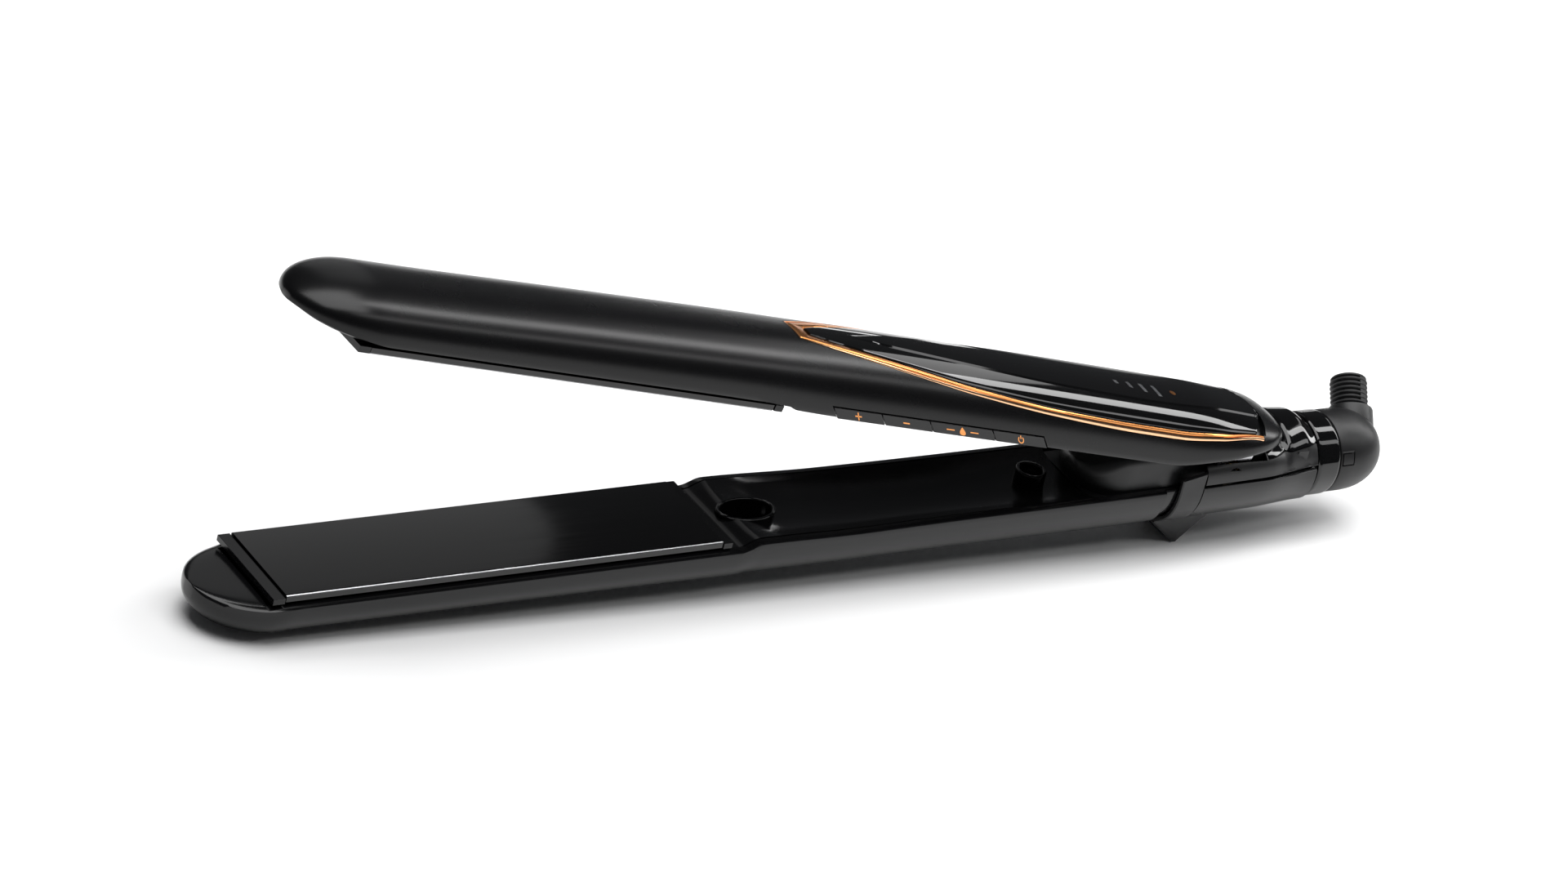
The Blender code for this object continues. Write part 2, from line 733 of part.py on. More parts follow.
def tact_switch(index):
    x = key_centre(index)
    body = box((x - 2.0, -8.9, 3.0), (x + 2.0, -5.5, 4.9))
    return join(body, rod((x, -9.3, 3.6), (x, -8.5, 3.6), 0.5, 10))


def circuit_board():
    return box((132.0, -8.8, 5.2), (194.0, 8.8, 6.2))


def capacitor():
    return rod((150, 3.5, 8.9), (162, 3.5, 8.9), 2.2, 16)


def relay():
    return box((170, -5.5, 6.5), (182, 5.0, 10.2))


def controller():
    return box((138, -4.5, 6.5), (146, 3.5, 7.6))


LOWER_LEAD_ROUTE = [(98.5, 3.0, -3.2), (102.0, 3.2, -3.4), (107.0, 5.5, -8.9), (113.0, 6.9, -9.3),
                    (135.0, 6.9, -9.3), (180.0, 6.5, -9.4), (214.0, 6.3, -9.2),
                    (236.0, 6.0, -9.3), (254.0, 5.0, -10.0), (261.0, 3.6, -10.2)]
UPPER_LEAD_ROUTE = [(196.0, 3.0, 7.4), (200.0, 3.0, 9.0), (203.5, 3.0, 10.6), (212.0, 3.0, 11.0),
                    (226.0, 3.0, 10.8)]


def lead(route, sign):
    """Insulated wire on one side of the arm's middle plane."""
    return tube_along([(x, sign * y, z) for x, y, z in route], 0.7)


def thermal_fuse():
    return rod((99.5, 0, -6.6), (106.0, 0, -6.6), 1.1, 12)


# ---------------------------------------------------------------- hinge, housing and lock

def tongue_half_width(x):
    body = smooth_curve(x, [(234, 10.8), (242.5, 9.3)])
    return body * rounded_end(224.0 - x, 10.5, 2.2)


def tongue_top_z(x):
    return smooth_curve(x, [(213.6, 2.5), (222, 7.5), (236, 7.5), (248, 4.4)])


def rounded_block_ring(x, half, low, high, radius):
    """Box section with two rounded upper corners."""
    radius = min(radius, half * 0.9)
    ring = [(x, -half, low), (x, half, low)]
    for sign, start in ((1, 0.0), (-1, 90.0)):
        for step in range(4):
            angle = math.radians(start + 30 * step)
            y = sign * (half - radius) + radius * math.cos(angle)
            z = high - radius + radius * math.sin(angle)
            ring.append((x, y, z))
    return ring


def rear_body_ring(x, inset, low):
    """Upper part of the rear body's cross-section, from its seam upwards."""
    half = lower_half_width(x) - inset
    middle = lower_wide_z(x)
    top = smooth_curve(x, [(262, 4.8), (268.7, 4.8), (270.8, 7.0), (276, 7.2), (278.6, 6.0),
                           (279.4, 5.6)])
    power = smooth_curve(x, [(262, 4.0), (270, 2.4), (280, 2.05)])
    height = top - inset - middle
    ring = [(x, -half, low), (x, half, low)]
    steps = 14
    for step in range(steps + 1):
        angle = math.pi * step / steps
        y = half * signed_power(math.cos(angle), 2 / power)
        z = middle + height * signed_power(math.sin(angle), 2 / power)
        ring.append((x, y, max(z, low + 0.01 + 0.001 * min(step, steps - step))))
    return ring


REAR_STATIONS = (243.9, 250.0, 256.0, 262.0, 266.0, 268.7, 269.4, 270.2, 271.0, 273.5, 276.0,
                 277.5, 278.6, 279.4)


def rear_body_shell():
    outside = loft([rear_body_ring(x, 0.0, lower_rim_z(x) + GAP) for x in REAR_STATIONS])
    hollow_stations = (242.0, 250.0, 256.0, 262.0, 266.0, 268.7, 271.0, 276.0, 277.2)
    hollow = loft([rear_body_ring(x, 1.4, -20.0) for x in hollow_stations])
    return cut(outside, hollow)


def hinge_housing():
    """Tongue that carries the hinge pin, the skin behind it and the swivel's bearing walls."""
    nose = [213.6, 213.9, 214.6, 216.0, 218.0, 221.0, 224.0]
    straight = [230.0, 234.0, 237.0, 240.0, 242.5, 246.0, 248.0, 261.3]
    tongue = loft([rounded_block_ring(x, tongue_half_width(x), -4.3, tongue_top_z(x), 2.6)
                   for x in nose + straight])
    hollow = loft([rounded_block_ring(x, tongue_half_width(x) - 2.0, -20.0,
                                      tongue_top_z(x) - 1.8, 1.6)
                   for x in (217.5, 219.0, 221.0, 224.0, 230.0, 236.0, 242.5, 248.0, 260.4)])
    flange = loft([[(x, -10.9, -4.3), (x, 10.9, -4.3), (x, 10.9, -3.0), (x, -10.9, -3.0)]
                   for x in (213.2, 243.0)])
    rear = cut(rear_body_shell(), box((262.2, -20, 2.8), (290, 20, 20)))
    bearing_wall = join(rod((272.6, 0, CORD_AXIS_Z), (275.6, 0, CORD_AXIS_Z), 8.0, 28),
                        box((272.6, -9.6, -1.0), (275.6, 9.6, 2.7)))
    housing = join(cut(join(tongue, flange), hollow), rear, bearing_wall)
    for sign in (-1, 1):
        low, high = sorted((sign * 4.8, sign * 9.3))
        housing = join(housing, rod((HINGE_X, low, 0), (HINGE_X, high, 0), 4.7, 20))
    for sign in (-1, 1):
        low, high = sorted((sign * 9.5, sign * 11.45))
        housing = cut(housing, box((243.1, low, -9.0), (261.8, high, 9.0)))
    catch_slot = box((228.5, -3.6, 0.0), (241.0, 3.6, 12.0))
    spring_slot = box((243.5, -3.9, -12.0), (257.0, 3.9, 12.0))
    pin_bore = rod((HINGE_X, -12.5, 0), (HINGE_X, 12.5, 0), PIN_RADIUS + GAP, 20)
    core_bore = rod((262.0, 0, CORD_AXIS_Z), (290.0, 0, CORD_AXIS_Z), SWIVEL_BORE_RADIUS, 28)
    return cut(housing, catch_slot, spring_slot, pin_bore, core_bore)


def rear_top_cover():
    return cut(common(rear_body_shell(), box((262.5, -20, 3.1), (279.35, 20, 20))),
               rod((262.0, 0, CORD_AXIS_Z), (290.0, 0, CORD_AXIS_Z), SWIVEL_BORE_RADIUS + GAP, 28))


def hinge_pin():
    profile = [(0, 0), (0, 1.6), (0.4, PIN_RADIUS), (21.4, PIN_RADIUS), (21.8, 1.6), (21.8, 0)]
    return turned(profile, (HINGE_X, -10.9, 0), (0, 1, 0), 20)


def hinge_spring():
    """Torsion spring round the pin: one leg under the housing's roof, one towards the upper arm."""
    turns, steps, radius = 4, 10, 3.1
    points = [(HINGE_X + 7.6, -2.6, -3.4), (HINGE_X + 4.0, -2.6, -3.2)]
    for i in range(turns * steps + 1):
        angle = -0.5 * math.pi - 2 * math.pi * i / steps
        points.append((HINGE_X + radius * math.cos(angle), -2.6 + 5.2 * i / (turns * steps),
                       radius * math.sin(angle)))
    points += [(HINGE_X - 4.0, 2.6, -3.0), (HINGE_X - 7.6, 2.6, 1.0)]
    return tube_along(points, 0.5, 6)


def hinge_lug(sign):
    """Steel plate that hangs from the upper arm's side wall and turns on the pin."""
    outline = []
    for step in range(8):
        angle = math.radians(150 + 30 * step)
        outline.append((HINGE_X + LUG_RADIUS * math.cos(angle), LUG_RADIUS * math.sin(angle)))
    outline = [(244.0, 6.8)] + outline + [(256.5, 6.8)]
    low, high = sorted((sign * LUG_INNER_Y, sign * LUG_OUTER_Y))
    plate_solid = prism(outline, "Y", low, high)
    return cut(plate_solid, rod((HINGE_X, -13, 0), (HINGE_X, 13, 0), 3.5, 20))


def hinge_bush(sign):
    low, high = sorted((sign * LUG_INNER_Y, sign * LUG_OUTER_Y))
    return sleeve((HINGE_X, low, 0), (HINGE_X, high, 0), PIN_RADIUS + GAP, 3.2, 20)


def lock_catch():
    """Steel plate hanging from the upper arm with a window for the lock's tooth."""
    plate_solid = box((231.8, -2.6, 0.3), (233.3, 2.6, 11.0))
    window = box((230.0, -1.6, 1.1), (235.0, 1.6, 3.3))
    foot = box((232.5, -2.6, 9.9), (239.0, 2.6, 11.0))
    return join(cut(plate_solid, window), foot)


def lock_slider():
    """Band round the lower arm, with a stem and a tooth inside that reaches the catch."""
    ears = ((LOCK_START_X, 3.2), (LOCK_END_X, 4.6))
    outside = loft([arm_ring(LOWER_ARM, x, -LOCK_SKIN_GAP, reach) for x, reach in ears])
    inside = loft([arm_ring(LOWER_ARM, x, 0.7, 12.0) for x in (LOCK_START_X - 1, LOCK_END_X + 1)])
    stem = box((238.8, -2.6, -14.0), (242.5, 2.6, 3.0))
    tooth = box((235.4, -1.3, 1.4), (239.2, 1.3, 3.0))
    return join(cut(outside, inside), stem, tooth)


def lock_fin():
    """Thumb piece under the band. The open iron rests on its crest."""
    outline = [(236.9, -8.0), (237.4, -14.6), (245.2, -21.3), (246.4, -21.3), (252.4, -14.6),
               (252.4, -8.0)]
    levels = ((-6.6, 0.55), (-5.6, 1.0), (5.6, 1.0), (6.6, 0.55))
    fin = loft([[(x, y, -14.0 + (z + 14.0) * share if z < -14.0 else z) for x, z in outline]
                for y, share in levels])
    under_band, under_shell = -LOCK_SKIN_GAP - GAP, -GAP
    band_end = LOCK_END_X + GAP
    insets = ((230.0, under_band), (band_end, under_band), (band_end + 0.02, under_shell),
              (256.0, under_shell))
    return cut(fin, loft([arm_ring(LOWER_ARM, x, inset, 12.0) for x, inset in insets]))


def lock_detent_spring():
    """Bent steel strip that holds the lock at either end of its travel."""
    under = [(224.0, -11.4), (230.0, -11.4), (234.0, -10.6), (238.0, -11.3), (246.0, -11.3)]
    over = [(x, z + 0.4) for x, z in reversed(under)]
    return prism(under + over, "Y", 3.2, 4.8)


# ---------------------------------------------------------------- swivel and cord exit

ELBOW_CENTRE = (297.0, 0.0, CORD_AXIS_Z + 0.9)
EXIT_DIRECTION = Vector((0.295, 0.738, 0.607)).normalized()


def collar_ring():
    profile = [(0, 8.2), (0, 9.5), (0.5, COLLAR_RADIUS), (6.0, COLLAR_RADIUS), (6.5, 9.5),
               (6.5, 8.2)]
    return turned(profile, (COLLAR_START_X, 0, CORD_AXIS_Z), (1, 0, 0), 36)


def swivel_core():
    """Tube that turns in the bearing wall, held by its flange."""
    profile = [(262.7, 2.0), (262.7, 3.4), (266.0, 3.4), (266.0, 6.0), (269.8, 6.0),
               (269.8, 7.4), (272.2, 7.4), (272.2, 6.0), (290.5, 6.0), (290.5, 4.2),
               (267.0, 4.2), (267.0, 2.0)]
    return turned(profile, (0, 0, CORD_AXIS_Z), (1, 0, 0), 18)


CONTACT_NAMES = {"live": 262.8, "neutral": 264.4}


def contact_ring(x):
    return sleeve((x, 0, CORD_AXIS_Z), (x + 1.1, 0, CORD_AXIS_Z), 3.7, 4.3, 20)


def contact_brush(x):
    return box((x + 0.1, -0.8, -12.2), (x + 1.0, 0.8, -9.1))


def elbow_profile(inset):
    """Outer radius of the elbow along its axis: straight, then rounded over its end."""
    points = []
    start = 291.0
    length = ELBOW_END_X - inset - start
    steps = 7
    for i in range(steps + 1):
        angle = 0.5 * math.pi * i / steps
        along = start + length * math.sin(angle) ** (2 / 2.3)
        radius = (ELBOW_RADIUS - inset) * max(math.cos(angle), 0.0) ** (2 / 2.3)
        points.append((along, 0 if i == steps else radius))
    return points


def clip_block(margin):
    return box((287.5 - margin, -12, -2.6 - margin), (290.5 + margin, -8.8 + margin, 1.9 + margin))


def elbow_housing():
    outside = [(ELBOW_START_X, 0), (ELBOW_START_X, ELBOW_RADIUS - 0.3),
               (ELBOW_START_X + 0.3, ELBOW_RADIUS)]
    solid = turned(outside + elbow_profile(0.0), (0, 0, CORD_AXIS_Z), (1, 0, 0), 30)
    boss = turned([(1.0, 0), (1.0, 5.6), (8.2, 5.6), (8.6, 5.2), (8.6, 0)], ELBOW_CENTRE,
                  EXIT_DIRECTION, 20)
    hollow = turned([(288.4, 0), (288.4, 8.0)] + elbow_profile(1.8), (0, 0, CORD_AXIS_Z),
                    (1, 0, 0), 18)
    core_bore = rod((286.0, 0, CORD_AXIS_Z), (289.0, 0, CORD_AXIS_Z), SWIVEL_BORE_RADIUS, 24)
    neck_bore = turned([(-1.5, 0), (-1.5, 4.9), (5.9, 4.9), (5.9, 4.3), (12.0, 4.3), (12.0, 0)],
                       ELBOW_CENTRE, EXIT_DIRECTION, 20)
    return cut(join(solid, boss), join(hollow, core_bore, neck_bore), clip_block(GAP))


def elbow_clip():
    band = sleeve((287.0, 0, CORD_AXIS_Z), (291.0, 0, CORD_AXIS_Z), 9.1, ELBOW_RADIUS, 36)
    return common(band, clip_block(0.0))


def strain_relief():
    """Ribbed rubber sleeve: ribs of even pitch with a smooth rounded end."""
    profile = [(4.6, 0), (4.6, 4.6), (5.6, 4.6), (5.6, 4.0), (8.9, 4.0), (8.9, 4.5)]
    ribs, pitch = 6, 1.15
    for i in range(ribs):
        base = 9.2 + i * pitch
        profile += [(base, 4.5), (base + 0.35, 4.05), (base + 0.65, 4.05), (base + 1.0, 4.5)]
    profile += [(16.3, 4.4), (16.8, 3.9), (17.1, 3.0), (17.2, 0)]
    return turned(profile, ELBOW_CENTRE, EXIT_DIRECTION, 16)


# ---------------------------------------------------------------- assembly

def clear_scene():
    for item in list(bpy.data.objects):
        bpy.data.objects.remove(item)


def build_root(frame):
    group = (frame, (0, 0, 0))
    make_part("lower_outer_shell", lower_outer_shell(), group, "satin_black")
    make_part("lower_inner_cover", lower_inner_cover(), group, "gloss_black")
    make_part("lower_plate_frame", plate_frame(LOWER, 0.0), group, "frame_plastic")
    make_part("lower_plate", plate(LOWER, 0.0), group, "plate_coating")
    make_part("lower_heater", heater(LOWER, 0.0), group, "ceramic")
    make_part("lower_heater_clamp", heater_clamp(LOWER, 0.0), group, "steel")
    make_part("lower_thermal_fuse", thermal_fuse(), group, "brass")
    make_part("lower_lead_near", lead(LOWER_LEAD_ROUTE, -1), group, "wire")
    make_part("lower_lead_far", lead(LOWER_LEAD_ROUTE, 1), group, "wire")
    front_screw = pan_screw((FRONT_WELL_X, 0), -7.4, -1.0)
    make_part("lower_cover_screw_front", front_screw, group, "steel")
    make_part("lower_cover_screw_rear", pan_screw(REAR_WELL, -4.8, -1.0), group, "steel")
    make_part("hinge_housing", hinge_housing(), group, "satin_black")
    make_part("rear_top_cover", rear_top_cover(), group, "satin_black")
    make_part("collar_ring", collar_ring(), group, "gloss_black")
    make_part("hinge_pin", hinge_pin(), group, "steel")
    make_part("hinge_spring", hinge_spring(), group, "steel")
    make_part("lock_detent_spring", lock_detent_spring(), group, "steel")
    for name, x in CONTACT_NAMES.items():
        make_part("contact_brush_" + name, contact_brush(x), group, "brass")


def build_upper(hinge):
    group = (hinge, (HINGE_X, 0, 0))
    make_part("upper_outer_shell", upper_outer_shell(), group, "soft_touch_black")
    make_part("upper_inner_cover", upper_inner_cover(), group, "satin_black")
    make_part("gloss_insert", gloss_insert(), group, "gloss_black")
    make_part("copper_trim", copper_trim(), group, "copper")
    make_part("upper_plate_frame", plate_frame(UPPER, FLOAT_TRAVEL), group, "frame_plastic")
    make_part("upper_lead_near", lead(UPPER_LEAD_ROUTE, -1), group, "wire")
    make_part("upper_lead_far", lead(UPPER_LEAD_ROUTE, 1), group, "wire")
    cover_screw = pan_screw((FRONT_WELL_X, 0), 7.0, 1.0, 4.2)
    make_part("upper_cover_screw", cover_screw, group, "steel")
    make_part("circuit_board", circuit_board(), group, "circuit_green")
    make_part("capacitor", capacitor(), group, "frame_plastic")
    make_part("relay", relay(), group, "frame_plastic")
    make_part("controller", controller(), group, "frame_plastic")
    for index in range(4):
        make_part(f"tact_switch_{index + 1}", tact_switch(index), group, "steel")
    make_part("key_frame", key_frame(), group, "frame_plastic")
    make_part("hinge_lug_near", hinge_lug(-1), group, "steel")
    make_part("hinge_lug_far", hinge_lug(1), group, "steel")
    make_part("hinge_bush_near", hinge_bush(-1), group, "brass")
    make_part("hinge_bush_far", hinge_bush(1), group, "brass")
    make_part("lock_catch", lock_catch(), group, "steel")
    for name, x in zip(("front", "rear"), PAD_POSITIONS):
        pad = box((x + GAP, -9.6, 6.4), (x + PAD_LENGTH - GAP, 9.6, 7.1))
        make_part("float_pad_" + name, pad, group, "silicone")


def build_floating_plate(hinge):
    group = (hinge, (HINGE_X, 0, 0))
    lift = UPPER_PLATE_LIFT
    middle = (PLATE_LENGTH / 2, 0, lift)
    make_part("upper_plate", plate(UPPER, lift), group, "plate_coating", middle)
    make_part("upper_heater", heater(UPPER, lift), group, "ceramic", middle)
    make_part("upper_heater_clamp", heater_clamp(UPPER, lift), group, "steel", middle)


def build_keys(hinge):
    group = (hinge, (HINGE_X, 0, 0))
    for index, name in enumerate(KEY_NAMES):
        make_part(name, key(index), group, "satin_black", (key_centre(index), -14.0, 2.65))


def build_lock(frame):
    origin = ((LOCK_START_X + LOCK_END_X) / 2, 0, -14.0)
    group = (frame, (0, 0, 0))
    make_part("lock_slider", lock_slider(), group, "satin_black", origin)
    make_part("lock_fin", lock_fin(), group, "satin_black", origin)


def build_swivel(axis):
    group = (axis, (COLLAR_END_X, 0, CORD_AXIS_Z))
    make_part("swivel_core", swivel_core(), group, "frame_plastic")
    for name, x in CONTACT_NAMES.items():
        make_part("contact_ring_" + name, contact_ring(x), group, "brass")
    make_part("elbow_housing", elbow_housing(), group, "satin_black")
    make_part("elbow_clip", elbow_clip(), group, "satin_black")
    make_part("strain_relief", strain_relief(), group, "rubber_black")


def main():
    clear_scene()
    frame = make_empty("arm_frame", ARM_FRAME_PLACE, None, REST_TILT)
    hinge = make_empty("hinge_axis", (HINGE_X, 0, 0), frame, OPEN_ANGLE)
    swivel = make_empty("swivel_axis", (COLLAR_END_X, 0, CORD_AXIS_Z), frame)
    build_root(frame)
    build_upper(hinge)
    build_floating_plate(hinge)
    build_keys(hinge)
    build_lock(frame)
    build_swivel(swivel)


main()
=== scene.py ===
"""Looks of the hair straightener: detailed shells, trim, keys, plates and cord exit round the frame.

Shapes are worked out in millimetres in the arm frame: x = 0 at the front edge of the lower plate and
growing towards the hinge, z = 0 on the face where the plates meet. The frame's joints say where the
arm frame lies and how far the upper arm is open, so every shape lands on its CAD node.
"""

import json
import math

import bmesh
import bpy
from mathutils import Matrix, Vector


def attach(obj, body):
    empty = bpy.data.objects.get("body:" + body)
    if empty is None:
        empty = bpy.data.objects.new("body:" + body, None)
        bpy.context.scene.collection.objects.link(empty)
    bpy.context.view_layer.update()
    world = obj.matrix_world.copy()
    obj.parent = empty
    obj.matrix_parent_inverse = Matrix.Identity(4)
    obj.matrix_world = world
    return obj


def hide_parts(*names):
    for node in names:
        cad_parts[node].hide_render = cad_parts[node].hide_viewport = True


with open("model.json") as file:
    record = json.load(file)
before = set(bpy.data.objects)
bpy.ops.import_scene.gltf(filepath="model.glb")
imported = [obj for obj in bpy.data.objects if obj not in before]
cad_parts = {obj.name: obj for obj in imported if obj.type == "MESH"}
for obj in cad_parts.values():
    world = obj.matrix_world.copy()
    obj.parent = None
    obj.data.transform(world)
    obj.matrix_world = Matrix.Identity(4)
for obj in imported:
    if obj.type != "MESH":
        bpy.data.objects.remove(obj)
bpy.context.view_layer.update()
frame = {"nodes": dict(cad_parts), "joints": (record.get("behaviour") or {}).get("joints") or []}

MM = 0.001
HINGE_X = 252.0
CORD_AXIS_Z = -4.4
NOSE_TIP_X = -16.5
NOSE_LENGTH = 20.0
UPPER_TIP_Z = 5.3
PLATE_LENGTH = 110.0
PLATE_WIDTH = 25.6
PLATE_THICKNESS = 1.6
WALL = 1.8
GAP = 0.3
TRIM_START_X = 116.7
TRIM_END_X = 256.0
INSERT_START_X = 121.3
KEY_EDGES = (126.3, 140.5, 154.8, 173.7, 189.5)
KEY_SLANT = 2.6
LOCK_START_X = 236.6
LOCK_END_X = 243.4
LOCK_TRAVEL = 3.5
STEM_HALF_WIDTH = 2.6
PAST_RIM = 12.0
CROWN_POINTS = 56
EDGE_POINTS = 12
CROWN_POWER = 2.3
EDGE_POWER = 4.0
LOWER = -1.0
UPPER = 1.0


def placements():
    """Matrices from arm-frame millimetres to the model, for the lower arm and the open upper arm."""
    joints = {joint["name"]: joint for joint in frame["joints"]}
    forward = joints["lock_slide"]["axis"]
    tilt = math.atan2(forward[2], -forward[0])
    opened = math.radians(-joints["arm_hinge"]["range_deg"][0])
    hinge = Matrix.Translation(Vector(joints["arm_hinge"]["pos_m"]))
    from_hinge = Matrix.Scale(MM, 4) @ Matrix.Translation((-HINGE_X, 0.0, 0.0))
    lower = hinge @ Matrix.Rotation(tilt, 4, "Y") @ from_hinge
    upper = hinge @ Matrix.Rotation(tilt + opened, 4, "Y") @ from_hinge
    return lower, upper


LOWER_PLACE, UPPER_PLACE = placements()


# ---------------------------------------------------------------- curves that shape the arms

def smooth_curve(x, points):
    """Value at x on a smooth curve through (x, value) points, without overshoot between them."""
    if x <= points[0][0]:
        return points[0][1]
    if x >= points[-1][0]:
        return points[-1][1]
    slopes = [(b[1] - a[1]) / (b[0] - a[0]) for a, b in zip(points, points[1:])]
    tangents = [0.0]
    for before, after in zip(slopes, slopes[1:]):
        same_way = before * after > 0
        tangents.append(2 * before * after / (before + after) if same_way else 0.0)
    tangents.append(0.0)
    index = max(i for i, point in enumerate(points[:-1]) if point[0] <= x)
    (x0, v0), (x1, v1) = points[index], points[index + 1]
    width = x1 - x0
    t = (x - x0) / width
    start = (1 + 2 * t) * (1 - t) ** 2 * v0 + t * (1 - t) ** 2 * width * tangents[index]
    end = t * t * (3 - 2 * t) * v1 + t * t * (t - 1) * width * tangents[index + 1]
    return start + end


def rounded_end(distance, length, power):
    """Falls from 1 to 0 as distance goes from 0 to length, like a superellipse's quarter."""
    share = min(max(distance / length, 0.0), 1.0)
    return (1.0 - share ** power) ** (1.0 / power)


def nose_share(x, power=2.0):
    """1 behind the nose, falling to 0 at the very tip of an arm."""
    return rounded_end(NOSE_TIP_X + NOSE_LENGTH - x, NOSE_LENGTH, power)


def lower_half_width(x):
    body = smooth_curve(x, [(116, 14.2), (175, 13.4), (236, 13.2), (262, 12.5), (280, 10.1)])
    return body * nose_share(x)


def lower_wide_z(x):
    return smooth_curve(x, [(-4, -4.5), (4, -3.0), (114, -3.0), (121, -1.4), (150, -2.1),
                            (236, -2.2), (262, -3.0), (280, CORD_AXIS_Z)])


def lower_rim_z(x):
    return smooth_curve(x, [(-4, -2.5), (4, -2.2), (115.5, -2.2), (120, -0.6), (150, -1.3),
                            (236, -1.3), (280, -1.6)])


def lower_bottom_z(x):
    body = smooth_curve(x, [(4, -13.2), (60, -13.4), (150, -14.2), (252, -14.6), (280, -14.5)])
    return -4.5 + (body + 4.5) * nose_share(x, 2.3)


def upper_half_width(x):
    return 14.2 * nose_share(x) * rounded_end(x - 240.0, 27.0, 3.0)


def upper_wide_z(x):
    return smooth_curve(x, [(NOSE_TIP_X, UPPER_TIP_Z), (-4, 4.6), (4, 3.4), (95, 3.4),
                            (128, 2.1), (229, 2.0), (245, 4.8), (257, 7.8), (267, 9.6)])


def upper_rim_z(x):
    return smooth_curve(x, [(NOSE_TIP_X, UPPER_TIP_Z - 0.9), (-12, 3.4), (-4, 2.5), (112.9, 2.5),
                            (115.8, 1.3), (229, 1.2), (245, 3.9), (257, 7.0), (267, 9.0)])


def upper_crown_z(x):
    body = smooth_curve(x, [(4, 12.6), (60, 13.6), (116, 14.6), (150, 15.0), (200, 14.7),
                            (240, 14.3), (260, 13.4)])
    rear = 9.6 + (body - 9.6) * rounded_end(x - 256.0, 11.0, 2.6)
    return UPPER_TIP_Z + (rear - UPPER_TIP_Z) * nose_share(x, 1.8)


LOWER_ARM = (lower_half_width, lower_wide_z, lower_rim_z, lower_bottom_z, LOWER)
UPPER_ARM = (upper_half_width, upper_wide_z, upper_rim_z, upper_crown_z, UPPER)


def signed_power(value, power):
    return math.copysign(abs(value) ** power, value)


def arm_ring(arm, x, inset=0.0, reach=None):
    """Cross-section of an arm at x, inset from its skin, its open side moved out by reach."""
    half_width, wide_z, rim_z, crown_z, side = arm
    width = half_width(x) - inset
    middle = wide_z(x)
    crown = abs(crown_z(x) - middle) - inset
    edge = abs(middle - rim_z(x)) if reach is None else reach
    ring = []
    for step in range(CROWN_POINTS + 1):
        angle = math.pi * step / CROWN_POINTS
        y = width * signed_power(math.cos(angle), 2 / CROWN_POWER)
        z = middle + side * crown * signed_power(math.sin(angle), 2 / CROWN_POWER)
        ring.append((x, y, z))
    for step in range(1, EDGE_POINTS + 1):
        angle = math.pi * (1 + step / (EDGE_POINTS + 1))
        if reach is None:
            y = width * signed_power(math.cos(angle), 2 / EDGE_POWER)
            z = middle + side * edge * signed_power(math.sin(angle), 2 / EDGE_POWER)
        else:
            y = -width + 2 * width * (step - 1) / (EDGE_POINTS - 1)
            z = middle - side * edge
        ring.append((x, y, z))
    return ring


def upper_skin_z(x, y, inset=0.0):
    """Height of the upper arm's skin, or of a surface inset from it, over a point."""
    width = upper_half_width(x) - inset
    middle = upper_wide_z(x)
    share = min(abs(y) / width, 1.0)
    crown = upper_crown_z(x) - middle - inset
    return middle + crown * (1.0 - share ** CROWN_POWER) ** (1.0 / CROWN_POWER)


def spread(start, end, count):
    return [start + (end - start) * i / (count - 1) for i in range(count)]


def nose_stations():
    steps = 26
    return [NOSE_TIP_X + NOSE_LENGTH * (1 - math.cos(0.5 * math.pi * i / steps)) + 0.16
            for i in range(steps)]


# ---------------------------------------------------------------- mesh tools

def mesh_from(builder):
    mesh = bpy.data.meshes.new("shape")
    bmesh.ops.recalc_face_normals(builder, faces=builder.faces)
    builder.to_mesh(mesh)
    builder.free()
    return mesh


def loft(rings, looped=False):
    """Solid through rings of equally many points: capped at both ends, or looped like a torus."""
    builder = bmesh.new()
    rows = [[builder.verts.new(point) for point in ring] for ring in rings]
    count = len(rows[0])
    for first, second in zip(rows, rows[1:] + rows[:1] if looped else rows[1:]):
        for i in range(count):
            j = (i + 1) % count
            builder.faces.new((first[i], first[j], second[j], second[i]))
    if not looped:
        builder.faces.new(rows[0])
        builder.faces.new(rows[-1])
    return mesh_from(builder)


def box(low, high):
    builder = bmesh.new()
    bmesh.ops.create_cube(builder, size=1.0)
    bmesh.ops.scale(builder, vec=Vector(high) - Vector(low), verts=builder.verts)
    bmesh.ops.translate(builder, vec=(Vector(high) + Vector(low)) / 2, verts=builder.verts)
    return mesh_from(builder)


def prism(outline, axis, start, end):
    """Outline pushed along axis Y (points are x, z) or Z (points are x, y)."""
    if axis == "Y":
        return loft([[(a, level, b) for a, b in outline] for level in (start, end)])
    return loft([[(a, b, level) for a, b in outline] for level in (start, end)])


def turned(profile, centre, direction, sides=64):
    """Solid of revolution: profile is a closed list of (distance along axis, radius) points."""
    rotation = Vector((1, 0, 0)).rotation_difference(Vector(direction)).to_matrix()
    builder = bmesh.new()
    rows = []
    for along, radius in profile:
        row = []
        for i in range(sides if radius else 1):
            angle = 2 * math.pi * i / sides
            local = Vector((along, radius * math.cos(angle), radius * math.sin(angle)))
            row.append(builder.verts.new(rotation @ local + Vector(centre)))
        rows.append(row)
    for first, second in zip(rows, rows[1:] + rows[:1]):
        for i in range(sides):
            corners = (first[i % len(first)], first[(i + 1) % sides % len(first)],
                       second[(i + 1) % sides % len(second)], second[i % len(second)])
            apart = list(dict.fromkeys(corners))
            if len(apart) > 2:
                builder.faces.new(apart)
    return mesh_from(builder)


def rod(start, end, radius, sides=48):
    length = (Vector(end) - Vector(start)).length
    direction = (Vector(end) - Vector(start)).normalized()
    return turned([(0, 0), (0, radius), (length, radius), (length, 0)], start, direction, sides)


